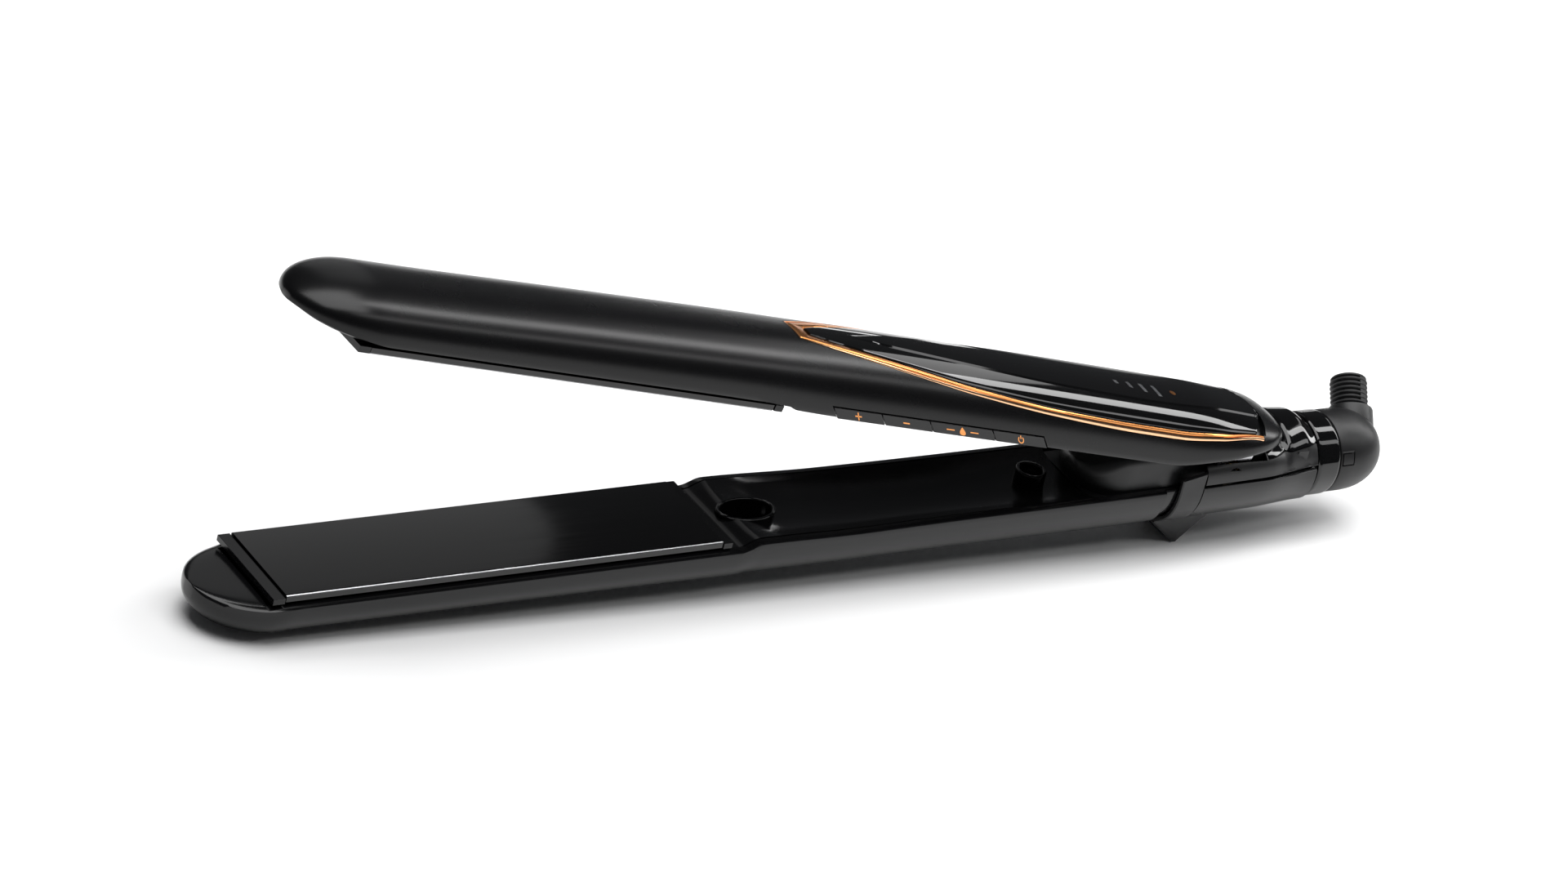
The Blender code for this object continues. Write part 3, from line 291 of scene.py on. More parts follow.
def rounded_profile(profile, radius, steps=3):
    """Closed (along, radius) profile with its corners off the axis rounded."""
    points = []
    count = len(profile)
    for i, corner in enumerate(profile):
        here = Vector(corner)
        before, after = Vector(profile[i - 1]), Vector(profile[(i + 1) % count])
        if corner[1] == 0:
            points.append(corner)
            continue
        back = min(radius, (before - here).length * 0.45)
        ahead = min(radius, (after - here).length * 0.45)
        start = here + (before - here).normalized() * back
        end = here + (after - here).normalized() * ahead
        for k in range(steps + 1):
            t = k / steps
            points.append(tuple(start * (1 - t) ** 2 + here * 2 * t * (1 - t) + end * t * t))
    return points


def boolean(target, other, operation):
    body = bpy.data.objects.new("cut_body", target)
    tool = bpy.data.objects.new("cut_tool", other)
    for item in (body, tool):
        bpy.context.scene.collection.objects.link(item)
    modifier = body.modifiers.new("cut", "BOOLEAN")
    modifier.operation = operation
    modifier.solver = "EXACT"
    modifier.object = tool
    bpy.context.view_layer.update()
    graph = bpy.context.evaluated_depsgraph_get()
    result = bpy.data.meshes.new_from_object(body.evaluated_get(graph))
    for item in (body, tool):
        bpy.data.objects.remove(item)
    return result


def cut(target, *tools):
    for tool in tools:
        target = boolean(target, tool, "DIFFERENCE")
    return target


def join(target, *others):
    for other in others:
        target = boolean(target, other, "UNION")
    return target


def common(target, other):
    return boolean(target, other, "INTERSECT")


def along_cord(profile, sides):
    """Solid of revolution about the cord's axis, its profile given by x and radius."""
    return turned(profile, (0, 0, CORD_AXIS_Z), (1, 0, 0), sides)


def cord_rod(start_x, end_x, radius, sides=48):
    return rod((start_x, 0, CORD_AXIS_Z), (end_x, 0, CORD_AXIS_Z), radius, sides)


def pin_rod(start_y, end_y, radius):
    return rod((HINGE_X, start_y, 0), (HINGE_X, end_y, 0), radius)


def screw_hole(well, low, high):
    return rod((*well, low), (*well, high), 1.5, 24)


# ---------------------------------------------------------------- materials

def shader_material(name, colour, roughness, metallic=0.0, coat=0.0, specular=0.5):
    material = bpy.data.materials.new(name)
    material.use_nodes = True
    shader = material.node_tree.nodes["Principled BSDF"]
    shader.inputs["Base Color"].default_value = (*colour, 1.0)
    shader.inputs["Roughness"].default_value = roughness
    shader.inputs["Metallic"].default_value = metallic
    shader.inputs["Specular IOR Level"].default_value = specular
    shader.inputs["Coat Weight"].default_value = coat
    shader.inputs["Coat Roughness"].default_value = 0.03
    return material


def add_node(material, kind, **inputs):
    node = material.node_tree.nodes.new("ShaderNode" + kind)
    for name, value in inputs.items():
        node.inputs[name.replace("_", " ")].default_value = value
    return node


def add_noise(material, scale, detail=3.0, stretch=(1.0, 1.0, 1.0)):
    """Noise texture in object space; scale is in waves per metre along each axis."""
    place = add_node(material, "TexCoord")
    mapping = add_node(material, "Mapping", Scale=stretch)
    noise = add_node(material, "TexNoise", Scale=scale, Detail=detail)
    link = material.node_tree.links.new
    link(place.outputs["Object"], mapping.inputs["Vector"])
    link(mapping.outputs["Vector"], noise.inputs["Vector"])
    return noise


def drive(material, noise, node, entry, socket):
    """Passes a noise's factor through a node's entry to a socket of the shader."""
    link = material.node_tree.links.new
    link(noise.outputs["Fac"], node.inputs[entry])
    link(node.outputs[0], material.node_tree.nodes["Principled BSDF"].inputs[socket])


def vary(material, noise, socket, low, high):
    """Drives a shader socket between two values with a noise texture."""
    share = add_node(material, "MapRange", From_Min=0.3, From_Max=0.7, To_Min=low, To_Max=high)
    drive(material, noise, share, "Value", socket)


def vary_colour(material, noise, first, second, low=0.35, high=0.65):
    """Blends the base colour between two colours with a texture's factor."""
    ramp = add_node(material, "ValToRGB")
    for stop, position, colour in zip(ramp.color_ramp.elements, (low, high), (first, second)):
        stop.position = position
        stop.color = (*colour, 1.0)
    drive(material, noise, ramp, "Fac", "Base Color")


def add_bump(material, noise, strength, depth_mm):
    bump = add_node(material, "Bump", Strength=strength, Distance=depth_mm * MM)
    drive(material, noise, bump, "Height", "Normal")


def surface(name, colour, roughness, sheen, grain=None, **shader):
    """Material whose sheen is uneven and, where a grain is given, whose face is bumped.

    Sheen is (waves per metre, detail, stretch, lowest roughness, highest roughness) and grain is
    (waves per metre, detail, strength, depth in mm).
    """
    material = shader_material(name, colour, roughness, **shader)
    scale, detail, stretch, low, high = sheen
    vary(material, add_noise(material, scale, detail, stretch), "Roughness", low, high)
    if grain:
        scale, detail, strength, depth_mm = grain
        add_bump(material, add_noise(material, scale, detail), strength, depth_mm)
    return material


def plate_coating():
    """Glossy ceramic coating: tiny glaze specks and fine lengthwise wipe lines."""
    material = shader_material("ceramic_coating", (0.002, 0.002, 0.002), 0.07)
    specks = add_noise(material, 9000.0, 1.0)
    vary_colour(material, specks, (0.0015, 0.0015, 0.0016), (0.006, 0.006, 0.0065), 0.55, 0.8)
    wipes = add_noise(material, 700.0, 3.0, (0.02, 1.0, 1.0))
    vary(material, wipes, "Roughness", 0.06, 0.10)
    return material


def copper_metal():
    """Metallised copper finish with very fine lengthwise brushing."""
    material = shader_material("copper_metallised", (0.74, 0.30, 0.10), 0.26, metallic=1.0)
    brushing = add_noise(material, 2600.0, 2.0, (0.03, 1.0, 1.0))
    vary_colour(material, brushing, (0.74, 0.30, 0.095), (0.76, 0.32, 0.105))
    vary(material, brushing, "Roughness", 0.25, 0.27)
    return material


def bare_metal(name, colour, roughness):
    material = shader_material(name, colour, roughness, metallic=1.0)
    brushing = add_noise(material, 1800.0, 3.0, (0.05, 1.0, 1.0))
    vary(material, brushing, "Roughness", roughness * 0.8, roughness * 1.25)
    return material


def ceramic_block():
    material = shader_material("heater_ceramic", (0.76, 0.74, 0.68), 0.6)
    vary_colour(material, add_noise(material, 900.0, 4.0), (0.66, 0.64, 0.58), (0.80, 0.78, 0.73))
    return material


def board_green():
    material = shader_material("board_solder_mask", (0.02, 0.16, 0.06), 0.35, coat=0.3)
    traces = add_noise(material, 420.0, 1.0, (0.25, 1.0, 1.0))
    vary_colour(material, traces, (0.015, 0.12, 0.045), (0.035, 0.24, 0.09), 0.48, 0.52)
    return material


def wire_sleeve():
    material = shader_material("wire_insulation", (0.72, 0.69, 0.62), 0.5)
    vary_colour(material, add_noise(material, 300.0, 3.0), (0.66, 0.62, 0.54), (0.76, 0.73, 0.67))
    return material


EVEN = (1.0, 1.0, 1.0)
FLOW = (0.4, 1.0, 1.0)

MATERIALS = {
    "soft_touch": surface("soft_touch_lacquer", (0.002, 0.002, 0.0023), 0.27,
                          (90.0, 4.0, EVEN, 0.262, 0.278), (5200.0, 2.0, 0.10, 0.01),
                          specular=0.28),
    "satin": surface("satin_plastic", (0.003, 0.003, 0.0034), 0.17,
                     (140.0, 4.0, EVEN, 0.15, 0.19), (3600.0, 2.0, 0.04, 0.004), specular=0.36),
    "matte": surface("matte_grained_plastic", (0.008, 0.008, 0.0085), 0.42,
                     (160.0, 4.0, EVEN, 0.38, 0.46), (4200.0, 3.0, 0.2, 0.012), specular=0.4),
    "gloss": surface("gloss_piano_black", (0.002, 0.002, 0.0022), 0.05,
                     (120.0, 5.0, FLOW, 0.035, 0.075), (60.0, 1.0, 0.05, 0.05)),
    "coating": plate_coating(),
    "copper": copper_metal(),
    # Smoother copper for the trim's outer line; its paler colour than the band is a painted
    # highlight along the edge.
    "pale_copper": surface("copper_edge_painted_highlight", (0.92, 0.55, 0.32), 0.16,
                           (400.0, 2.0, EVEN, 0.12, 0.20), metallic=1.0),
    "aluminium": bare_metal("plate_edge_aluminium", (0.80, 0.80, 0.82), 0.22),
    "steel": bare_metal("plain_steel", (0.56, 0.56, 0.58), 0.30),
    "silver": bare_metal("silver_inlay", (0.82, 0.82, 0.84), 0.22),
    "brass": bare_metal("plain_brass", (0.72, 0.53, 0.24), 0.28),
    "rubber": surface("flexible_rubber", (0.020, 0.020, 0.021), 0.60,
                      (350.0, 4.0, EVEN, 0.52, 0.68), (3000.0, 3.0, 0.3, 0.04), specular=0.4),
    "ceramic": ceramic_block(),
    "board": board_green(),
    "silicone": surface("silicone_pad", (0.50, 0.14, 0.09), 0.55,
                        (500.0, 3.0, EVEN, 0.48, 0.62)),
    "wire": wire_sleeve(),
}


# ---------------------------------------------------------------- pieces

ON_LOWER_ARM = ("lower_arm", "lock", "cord_swivel")


def add_piece(name, mesh, body, look, replaces=(), sharp=32.0, bevel=0.0):
    """Object from an arm-frame mesh that rides on a body and stands for CAD nodes."""
    mesh.transform(LOWER_PLACE if body in ON_LOWER_ARM else UPPER_PLACE)
    mesh.name = name
    piece = bpy.data.objects.new(name, mesh)
    bpy.context.scene.collection.objects.link(piece)
    for each in ([look] if isinstance(look, str) else look):
        mesh.materials.append(MATERIALS[each])
    mesh.shade_smooth()
    mesh.set_sharp_from_angle(angle=math.radians(sharp))
    if bevel:
        edge = piece.modifiers.new("edges", "BEVEL")
        edge.width = bevel * MM
        edge.segments = 3
        edge.limit_method = "ANGLE"
        edge.angle_limit = math.radians(30.0)
        edge.harden_normals = True
    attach(piece, body)
    if replaces:
        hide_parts(*replaces)
    return piece


def repaint(look, *nodes):
    """Gives carried-over CAD nodes a detailed material."""
    for node in nodes:
        item = frame["nodes"][node]
        for index in range(len(item.material_slots)):
            item.material_slots[index].material = MATERIALS[look]


# ---------------------------------------------------------------- outer shells

TRAY_FRONT_X = -3.6
SHELL_END_X = 262.0
POCKET_GAP = 0.2
LEAST_HALF_WIDTH = 0.4


def arm_solid(arm, stations, inset=0.0):
    return loft([arm_ring(arm, x, inset) for x in stations])


def arm_cavity(arm, end_x):
    """Inside of an arm: closed over the nose, open past its rim from the plate's tray back."""
    opened = [TRAY_FRONT_X + 0.05, 4.0] + spread(20.0, 110.0, 6) + spread(113.0, 123.0, 8)
    opened += spread(130.0, 230.0, 12) + spread(236.0, 281.0, 22)
    rings = [arm_ring(arm, x, WALL, 0.2) for x in (-12.0, -9.0, -6.0, TRAY_FRONT_X)]
    rings += [arm_ring(arm, x, WALL, PAST_RIM) for x in opened if x <= end_x]
    return loft(rings)


def handle_step_stations(end_x, rear_count):
    """Stations behind the nose: close together at the step between plates and handle."""
    return (spread(4.0, 110.0, 16) + spread(113.0, 123.0, 17) + spread(127.0, 228.0, 26)
            + spread(232.0, end_x, rear_count))


def lower_shell():
    shell = arm_solid(LOWER_ARM, nose_stations() + handle_step_stations(279.5, 18))
    shell = cut(shell, arm_cavity(LOWER_ARM, 281.0))
    start, end = LOCK_START_X - LOCK_TRAVEL - GAP, LOCK_END_X + GAP
    ring_outside = loft([arm_ring(LOWER_ARM, x, -3.0) for x in (start, end)])
    ring_inside = loft([arm_ring(LOWER_ARM, x, 1.0) for x in (start - 1, end + 1)])
    half_slot = STEM_HALF_WIDTH + 0.6
    stem_slot = box((LOCK_START_X - 1.6, -half_slot, -20), (LOCK_END_X - 0.1, half_slot, -8))
    above_rim = []
    for x in (205.0, 236.0, 250.0, 262.0, 281.0):
        low = lower_rim_z(x)
        above_rim.append([(x, -20, low), (x, 20, low), (x, 20, 20), (x, -20, 20)])
    shell = cut(shell, cut(ring_outside, ring_inside), stem_slot, loft(above_rim))
    add_piece("lower_shell_skin", shell, "lower_arm", "satin", ["lower_outer_shell"])


def trim_outer_y(x):
    return smooth_curve(x, [(106, 0.0), (TRIM_START_X, 3.6), (126, 6.0), (146, 9.3), (167, 11.4),
                            (192, 12.5), (218, 12.9), (243, 12.9), (TRIM_END_X, 12.1)])


def trim_inner_y(x):
    return smooth_curve(x, [(115, -0.6), (INSERT_START_X, 1.6), (127.5, 3.6), (146, 7.4),
                            (167, 10.1), (192, 11.5), (218, 11.8), (243, 11.8),
                            (TRIM_END_X, 11.0)])


def leaf_outline(half_width, start_x, end_x, bulge):
    """Plan outline from a half-width curve, its rear end bowed out (or in, below 0) by bulge."""
    steps = 60
    far = []
    for i in range(steps + 1):
        x = start_x + (end_x - start_x) * (i / steps) ** 1.8
        far.append((x, half_width(x)))
    edge = far[-1][1]
    bow = [(end_x + bulge * (1.0 - across ** 2), edge * across)
           for across in spread(1.0, -1.0, 13)[1:-1]]
    return far + bow + [(x, -y) for x, y in reversed(far)]


def leaf_block(margin, edge, start_x, end_x, bulge):
    outline = leaf_outline(lambda x: max(edge(x), LEAST_HALF_WIDTH) + margin, start_x, end_x, bulge)
    under_rear = box((244.0, -20.0, 4.0), (256.3, 20.0, 7.6 - margin))
    return cut(prism(outline, "Z", 5.0, 22.0), under_rear)


def upper_shell():
    stations = nose_stations() + handle_step_stations(SHELL_END_X, 14)
    stations += [262.8, 263.6, 264.3, 264.9, 265.4, 265.9, 266.3, 266.6, 266.8]
    shell = arm_solid(UPPER_ARM, stations)
    shell = cut(shell, arm_cavity(UPPER_ARM, SHELL_END_X))
    pocket = join(leaf_block(POCKET_GAP, trim_outer_y, TRIM_START_X - POCKET_GAP,
                             TRIM_END_X + POCKET_GAP, -1.0),
                  leaf_block(POCKET_GAP, trim_inner_y, INSERT_START_X - POCKET_GAP, 256.8, 2.0))
    floor = arm_solid(UPPER_ARM, [x for x in stations if 110.0 < x < 263.0], 1.2)
    window = prism([(KEY_EDGES[0] + 4.5, -2.0), (KEY_EDGES[-1] + 4.8, -2.0),
                    (KEY_EDGES[-1] - 1.5, 4.3), (KEY_EDGES[0] - 1.8, 4.3)], "Y", -16.0, -11.9)
    rear_relief = prism([(244.0, -6.0), (270.0, -6.0), (270.0, 8.9), (262.0, 8.9), (244.0, 4.4)],
                        "Y", -11.0, 11.0)
    shell = cut(shell, cut(pocket, floor), window, rear_relief)
    add_piece("upper_shell_skin", shell, "upper_arm", "soft_touch",
              ["upper_outer_shell"])


# ---------------------------------------------------------------- gloss insert and copper trim

BLADE_STEP = 0.35
SUNK = 0.02
INSERT_DEPTH = 0.9
ROUNDING = 0.25
RIM_WIDTH = 0.37


def panel_half_width(x):
    """Half-width of the raised blade that runs down the middle of the insert."""
    return smooth_curve(x, [(131, 0.0), (146, 2.4), (170, 4.8), (194, 6.3), (220, 6.8), (259, 5.6)])


def insert_height(x, y):
    """Height of the insert over the skin: a flattened blade with a crisp step down each side."""
    rise = min(panel_half_width(x) / 2, 1.0)
    panel = max(panel_half_width(x), LEAST_HALF_WIDTH)
    if abs(y) >= panel + BLADE_STEP:
        return -SUNK
    drop = upper_skin_z(x, 0.0) - upper_skin_z(x, panel)
    share = min(abs(y) / panel, 1.0)
    flat = upper_skin_z(x, panel) + drop * 0.55 * (1.0 - share ** 2) + 0.30 * rise
    blend = min(max((abs(y) - panel) / BLADE_STEP, 0.0), 1.0)
    return (flat - upper_skin_z(x, y)) * (1.0 - blend) - SUNK * blend


def insert_half_width(x):
    """Half-width of the insert, its rear end bowed."""
    bow = math.sqrt(max(1.0 - max(x - 254.0, 0.0) / 4.4, 0.02))
    return (max(trim_inner_y(x), LEAST_HALF_WIDTH) - GAP / 2) * bow


def insert_row(x):
    """Y values across the insert, with extra lines at the blade's edges."""
    half = insert_half_width(x)
    panel = min(max(panel_half_width(x), LEAST_HALF_WIDTH), half * 0.8)
    step = min(panel + BLADE_STEP, half * 0.96)
    inside = spread(-panel, panel, 21)
    outside = spread(step, half, 14)
    return [-y for y in reversed(outside)] + inside + outside


def gloss_insert():
    stations = spread(INSERT_START_X, 134.0, 14) + spread(135.0, 250.0, 70)
    stations += spread(251.0, 258.2, 16)
    rings = []
    for x in stations:
        row = insert_row(x)
        half = insert_half_width(x)
        top = []
        for y in row:
            edge = min(max((abs(y) - half + ROUNDING) / ROUNDING, 0.0), 1.0)
            top.append((x, y, upper_skin_z(x, y) + insert_height(x, y) - 0.2 * edge ** 2))
        bottom = [(x, y, upper_skin_z(x, y, INSERT_DEPTH)) for y in reversed(row)]
        rings.append(top + bottom)
    add_piece("insert_blade", loft(rings), "upper_arm", "gloss", ["gloss_insert"],
              sharp=28.0)


def trim_paths():
    """Matching points on the trim's outer and inner edges, from the middle of its front back."""
    outer, inner = [], []
    for share in spread(0.0, 1.0, 9):
        outer.append(Vector((TRIM_START_X + 0.1, trim_outer_y(TRIM_START_X) * share)))
        inner.append(Vector((INSERT_START_X - 0.2, trim_inner_y(INSERT_START_X) * share)))
    length = TRIM_END_X - TRIM_START_X - 0.1
    steps = 150
    for i in range(1, steps + 1):
        back = length * (i / steps) ** 1.25
        x = TRIM_START_X + 0.1 + back
        lag = math.exp(-back / 6.0)
        ahead = min(x + (INSERT_START_X - TRIM_START_X - 0.3) * lag + 0.35 * (1.0 - lag), TRIM_END_X)
        outer.append(Vector((x, trim_outer_y(x) - 0.05)))
        inner.append(Vector((ahead, trim_inner_y(ahead) + 0.12)))
    return outer, inner


def ribbon(rows, heights, depth):
    """Strip that follows the skin: rows of plan points across it, with a height for each column."""
    rings = []
    for row in rows:
        top = [(p.x, p.y, upper_skin_z(p.x, p.y) + h) for p, h in zip(row, heights)]
        bottom = [(p.x, p.y, upper_skin_z(p.x, p.y) - depth) for p in reversed(row)]
        rings.append(top + bottom)
    return loft(rings)


def both_sides(rows):
    """Rows of the near side, from the rear forward, then those of the far side, as one run."""
    mirrored = [[Vector((p.x, -p.y)) for p in row] for row in rows]
    return list(reversed(mirrored)) + rows[1:]


def between(outer, inner, distances):
    """Points from the outer edge towards the inner one, at distances along the line between."""
    width = (inner - outer).length
    return [outer.lerp(inner, min(distance / width, 1.0)) for distance in distances]


def copper_trim():
    """Polished outer line whose paler colour is a painted highlight along the trim's edge, brushed
    band and the dark groove that both lie in.
    """
    rim_rows, band_rows, base_rows = [], [], []
    for p, q in zip(*trim_paths()):
        width = (q - p).length
        start = min(RIM_WIDTH + 0.25, width * 0.6)
        rim_rows.append(between(p, q, (0.0, 0.09, RIM_WIDTH - 0.09, RIM_WIDTH)))
        band = [start + (width - start) * share for share in (0.0, 0.08, 0.5, 0.88, 1.0)]
        band_rows.append(between(p, q, band))
        base_rows.append(between(p, q, (0.3, width * 0.7, width)))
    # The outer line's paler copper is a painted highlight along the trim's edge.
    rim = ribbon(both_sides(rim_rows), (-0.10, 0.06, 0.06, -0.10), INSERT_DEPTH)
    add_piece("trim_edge_painted_highlight", rim, "upper_arm", "pale_copper", sharp=50.0)
    band = ribbon(both_sides(band_rows), (-0.12, 0.02, -0.08, -0.16, -0.40), INSERT_DEPTH)
    add_piece("trim_band", band, "upper_arm", "copper", ["copper_trim"], sharp=50.0)
    base = ribbon(both_sides(base_rows), (-0.5, -0.5, -0.5), INSERT_DEPTH + 0.05)
    add_piece("trim_groove", base, "upper_arm", "gloss")


# ---------------------------------------------------------------- heated plates

def plate_profile():
    """Cross-section (y, z) of a plate with rounded working edges and two ribs behind it."""
    half = PLATE_WIDTH / 2
    under = PLATE_THICKNESS
    edge = [(half - 0.55, 0.0), (half - 0.30, 0.05), (half - 0.12, 0.17), (half - 0.02, 0.34),
            (half, 0.50)]
    back = [(half, under), (9.6, under + 0.06), (9.6, 5.6), (8.4, 5.6), (8.4, under - 0.1)]
    right = edge + back
    left = [(-y, z) for y, z in reversed(right)]
    return right + left


def heated_plate(name, side, lift, body, node):
    profile = plate_profile()
    rings = [[(x, y, side * (z + lift)) for y, z in profile]
             for x in (0.0, 0.15, 55.0, PLATE_LENGTH - 0.15, PLATE_LENGTH)]
    mesh = loft(rings)
    for face in mesh.polygons:
        height = abs(face.center.z - side * lift)
        chamfer = 0.08 < height < 0.30 and abs(face.normal.x) < 0.5
        face.material_index = 1 if chamfer else 0
    add_piece(name, mesh, body, ("coating", "aluminium"), [node])


def heated_plates():
    heated_plate("lower_plate_coated", LOWER, 0.0, "lower_arm", "lower_plate")
    heated_plate("upper_plate_coated", UPPER, 0.2, "floating_plate", "upper_plate")


def plate_tray(side, clearance, body, name, node):
    """Tray under a plate: rails, cross bars and the two raised end strips with soft edges."""
    top = 2.2 + clearance
    outline = [(-11.1, top), (-11.1, 6.0), (-9.9, 7.9), (9.9, 7.9), (11.1, 6.0), (11.1, top)]
    front = [(y, min(z, 6.4)) for y, z in outline]
    stations = ((-2.6, front), (6.0, outline), (112.4, outline))
    tray = loft([[(x, y, z) for y, z in section] for x, section in stations])
    tray = cut(tray, box((-0.5, -10.0, top - 1), (110.5, 10.0, 9.0)))
    strip_top = 2.2 if side < 0 else 2.3
    for x in (27.0, 80.0):
        tray = join(tray, box((x, -10.3, 6.9 + clearance), (x + 3.0, 10.3, 7.9)))
    for start, end in ((-3.2, -GAP), (PLATE_LENGTH + GAP, 112.6)):
        neck = box((start + 0.6, -10.5, 1.5), (end - 0.2, 10.5, top + 0.5))
        strip = box((start, -13.0, 0.5), (end, 13.0, strip_top - GAP))
        tray = join(tray, neck, strip)
    tray.transform(Matrix.Diagonal((1.0, 1.0, side, 1.0)))
    if side < 0:
        tray.flip_normals()
    add_piece(name, tray, body, "satin", [node], bevel=0.28)


def plate_trays():
    plate_tray(LOWER, 0.0, "lower_arm", "lower_tray", "lower_plate_frame")
    plate_tray(UPPER, 0.5, "upper_arm", "upper_tray", "upper_plate_frame")


# ---------------------------------------------------------------- inner covers and screws

FRONT_WELL_X = 124.0
REAR_WELL = (203.5, 1.5)


def oval(centre_x, centre_y, half_length, half_width, sides=72):
    points = []
    for i in range(sides):
        angle = 2 * math.pi * i / sides
        points.append((centre_x + half_length * math.cos(angle),
                       centre_y + half_width * math.sin(angle)))
    return points


def trough_depth(x):
    return smooth_curve(x, [(116, 0.0), (121, 0.4), (131, 2.4), (165, 3.0), (205, 1.8), (213, 1.7)])


def cover_top_z(x):
    return smooth_curve(x, [(115.0, -2.5), (120.5, -0.7), (150, -1.5), (236, -1.6)])


def lower_cover():
    rings = []
    across = 48
    for x in spread(113.2, 123.0, 16) + spread(124.0, 136.0, 14) + spread(140.0, 212.9, 26):
        half = lower_half_width(x) - WALL - GAP
        top = []
        for i in range(across + 1):
            y = -half * math.cos(math.pi * i / across)
            share = 1 - abs(y / half) ** 2.6
            top.append((x, y, cover_top_z(x) - trough_depth(x) * share))
        under = [(x, y * 0.985, z - 1.3) for x, y, z in reversed(top)]
        rings.append(top + under)
    cover = loft(rings)
    cup = prism(oval(FRONT_WELL_X, 0, 7.6, 4.9), "Z", -9.0, -1.2)
    boss = prism(oval(*REAR_WELL, 3.65, 3.65), "Z", -6.4, -1.0)
    cover = join(cover, cup, boss)
    cover = cut(cover, prism(oval(FRONT_WELL_X, 0, 6.6, 3.9), "Z", -7.8, 4.0))
    cover = cut(cover, prism(oval(*REAR_WELL, 2.7, 2.7), "Z", -5.2, 4.0))
    cover = cut(cover, screw_hole((FRONT_WELL_X, 0), -12, -5), screw_hole(REAR_WELL, -12, -4))
    add_piece("handle_trough", cover, "lower_arm", "satin", ["lower_inner_cover"])


def well_rims():
    """Rounded bright rims round the two screw wells of the lower handle."""
    points = 12
    for name, centre, length, width, base in (
            ("front_well_rim", (FRONT_WELL_X, 0.0), 7.1, 4.4, -1.25),
            ("rear_well_rim", REAR_WELL, 3.18, 3.18, -1.05)):
        rings = []
        for x, y in oval(*centre, length, width, 96):
            out = Vector((x - centre[0], y - centre[1])).normalized()
            ring = []
            for k in range(points):
                angle = 2 * math.pi * k / points
                reach, rise = 0.46 * math.cos(angle), 0.34 * math.sin(angle)
                ring.append((x + out.x * reach, y + out.y * reach, base + rise))
            rings.append(ring)
        add_piece(name, loft(rings, looped=True), "lower_arm", "gloss", sharp=80.0)


def pan_screw(well, head_under, direction, length):
    x, y = well
    profile = [(0, 0), (0, 1.1), (length - 0.6, 1.1), (length, 0.6), (length, 0)]
    shank = turned(profile, (x, y, head_under), (0, 0, direction), 24)
    head = [(-0.1, 0), (-0.1, 2.2), (0.4, 2.25), (0.8, 2.1), (1.15, 1.75), (1.4, 1.1), (1.45, 0)]
    head = turned(head, (x, y, head_under), (0, 0, -direction), 40)
    low, high = sorted((head_under - direction * 0.8, head_under - direction * 2.0))
    slots = [box((x - 1.4, y - 0.25, low), (x + 1.4, y + 0.25, high)),
             box((x - 0.25, y - 1.4, low), (x + 0.25, y + 1.4, high))]
    return cut(join(shank, head), *slots)


def screws():
    front = (FRONT_WELL_X, 0)
    for name, node, well, head_under, direction, length in (
            ("lower_screw_front", "lower_cover_screw_front", front, -7.4, -1.0, 4.6),
            ("lower_screw_rear", "lower_cover_screw_rear", REAR_WELL, -4.8, -1.0, 4.6),
            ("upper_screw", "upper_cover_screw", front, 7.0, 1.0, 4.2)):
        body = name.split("_")[0] + "_arm"
        add_piece(name, pan_screw(well, head_under, direction, length), body, "steel", [node])


def upper_cover():
    rings = []
    for x in spread(113.2, 117.0, 14) + [150.0, 204.0]:
        low = smooth_curve(x, [(113.2, 2.8), (116.4, 1.5), (204, 1.5)])
        rings.append([(x, -11.5, low), (x, 11.5, low), (x, 11.5, low + 1.3), (x, -11.5, low + 1.3)])
    wall = box((202.7, -9.5, 1.8), (204.0, 9.5, 9.5))
    cup = prism(oval(FRONT_WELL_X, 0, 5.2, 4.6), "Z", 2.0, 8.6)
    cover = join(loft(rings), wall, cup)
    cover = cut(cover, prism(oval(FRONT_WELL_X, 0, 4.2, 3.6), "Z", -2.0, 7.4))
    cover = cut(cover, screw_hole((FRONT_WELL_X, 0), 5, 12))
    add_piece("upper_handle_cover", cover, "upper_arm", "satin", ["upper_inner_cover"])


# ---------------------------------------------------------------- keys and their symbols

KEY_NAMES = ("key_plus", "key_minus", "key_mode", "key_power")


KEY_LOW_Z = 1.35
KEY_HIGH_Z = 3.95
KEY_FACE_Y = -14.05
KEY_FACE_LEAN = 0.1
SYMBOL_Z = 2.65
SYMBOL_LEAN = 0.75


def key_face_y(z):
    return KEY_FACE_Y - KEY_FACE_LEAN * (z - KEY_LOW_Z) / (KEY_HIGH_Z - KEY_LOW_Z)


def key_cap(index):
    start, end = KEY_EDGES[index] + 0.15, KEY_EDGES[index + 1] - 0.15
    rings = []
    for z, shift in ((KEY_LOW_Z, KEY_SLANT / 2), (KEY_HIGH_Z, -KEY_SLANT / 2)):
        face = key_face_y(z)
        rings.append([(start + shift, face, z), (end + shift, face, z),
                      (end + shift, -12.35, z), (start + shift, -12.35, z)])
    middle = (KEY_EDGES[index] + KEY_EDGES[index + 1]) / 2
    return join(loft(rings), rod((middle, -12.6, 3.45), (middle, -9.9, 3.45), 0.45, 16))


def flat_symbol(outline):
    """Thin printed shape on the keys' faces from an (x, z) outline."""
    rings = [[(x - SYMBOL_LEAN * (z - SYMBOL_Z), key_face_y(z) - level, z) for x, z in outline]
             for level in (-0.02, 0.035)]
    return loft(rings)


def bar_symbol(x, z, length, height):
    half, tall = length / 2, height / 2
    return flat_symbol([(x - half, z - tall), (x + half, z - tall),
                        (x + half, z + tall), (x - half, z + tall)])


def arc_symbol(x, z, radius, width, start, end):
    steps = 28
    rim = [math.radians(start + (end - start) * i / steps) for i in range(steps + 1)]
    outer = [(x + (radius + width / 2) * math.sin(a), z + (radius + width / 2) * math.cos(a))
             for a in rim]
    inner = [(x + (radius - width / 2) * math.sin(a), z + (radius - width / 2) * math.cos(a))
             for a in reversed(rim)]
    return flat_symbol(outer + inner)


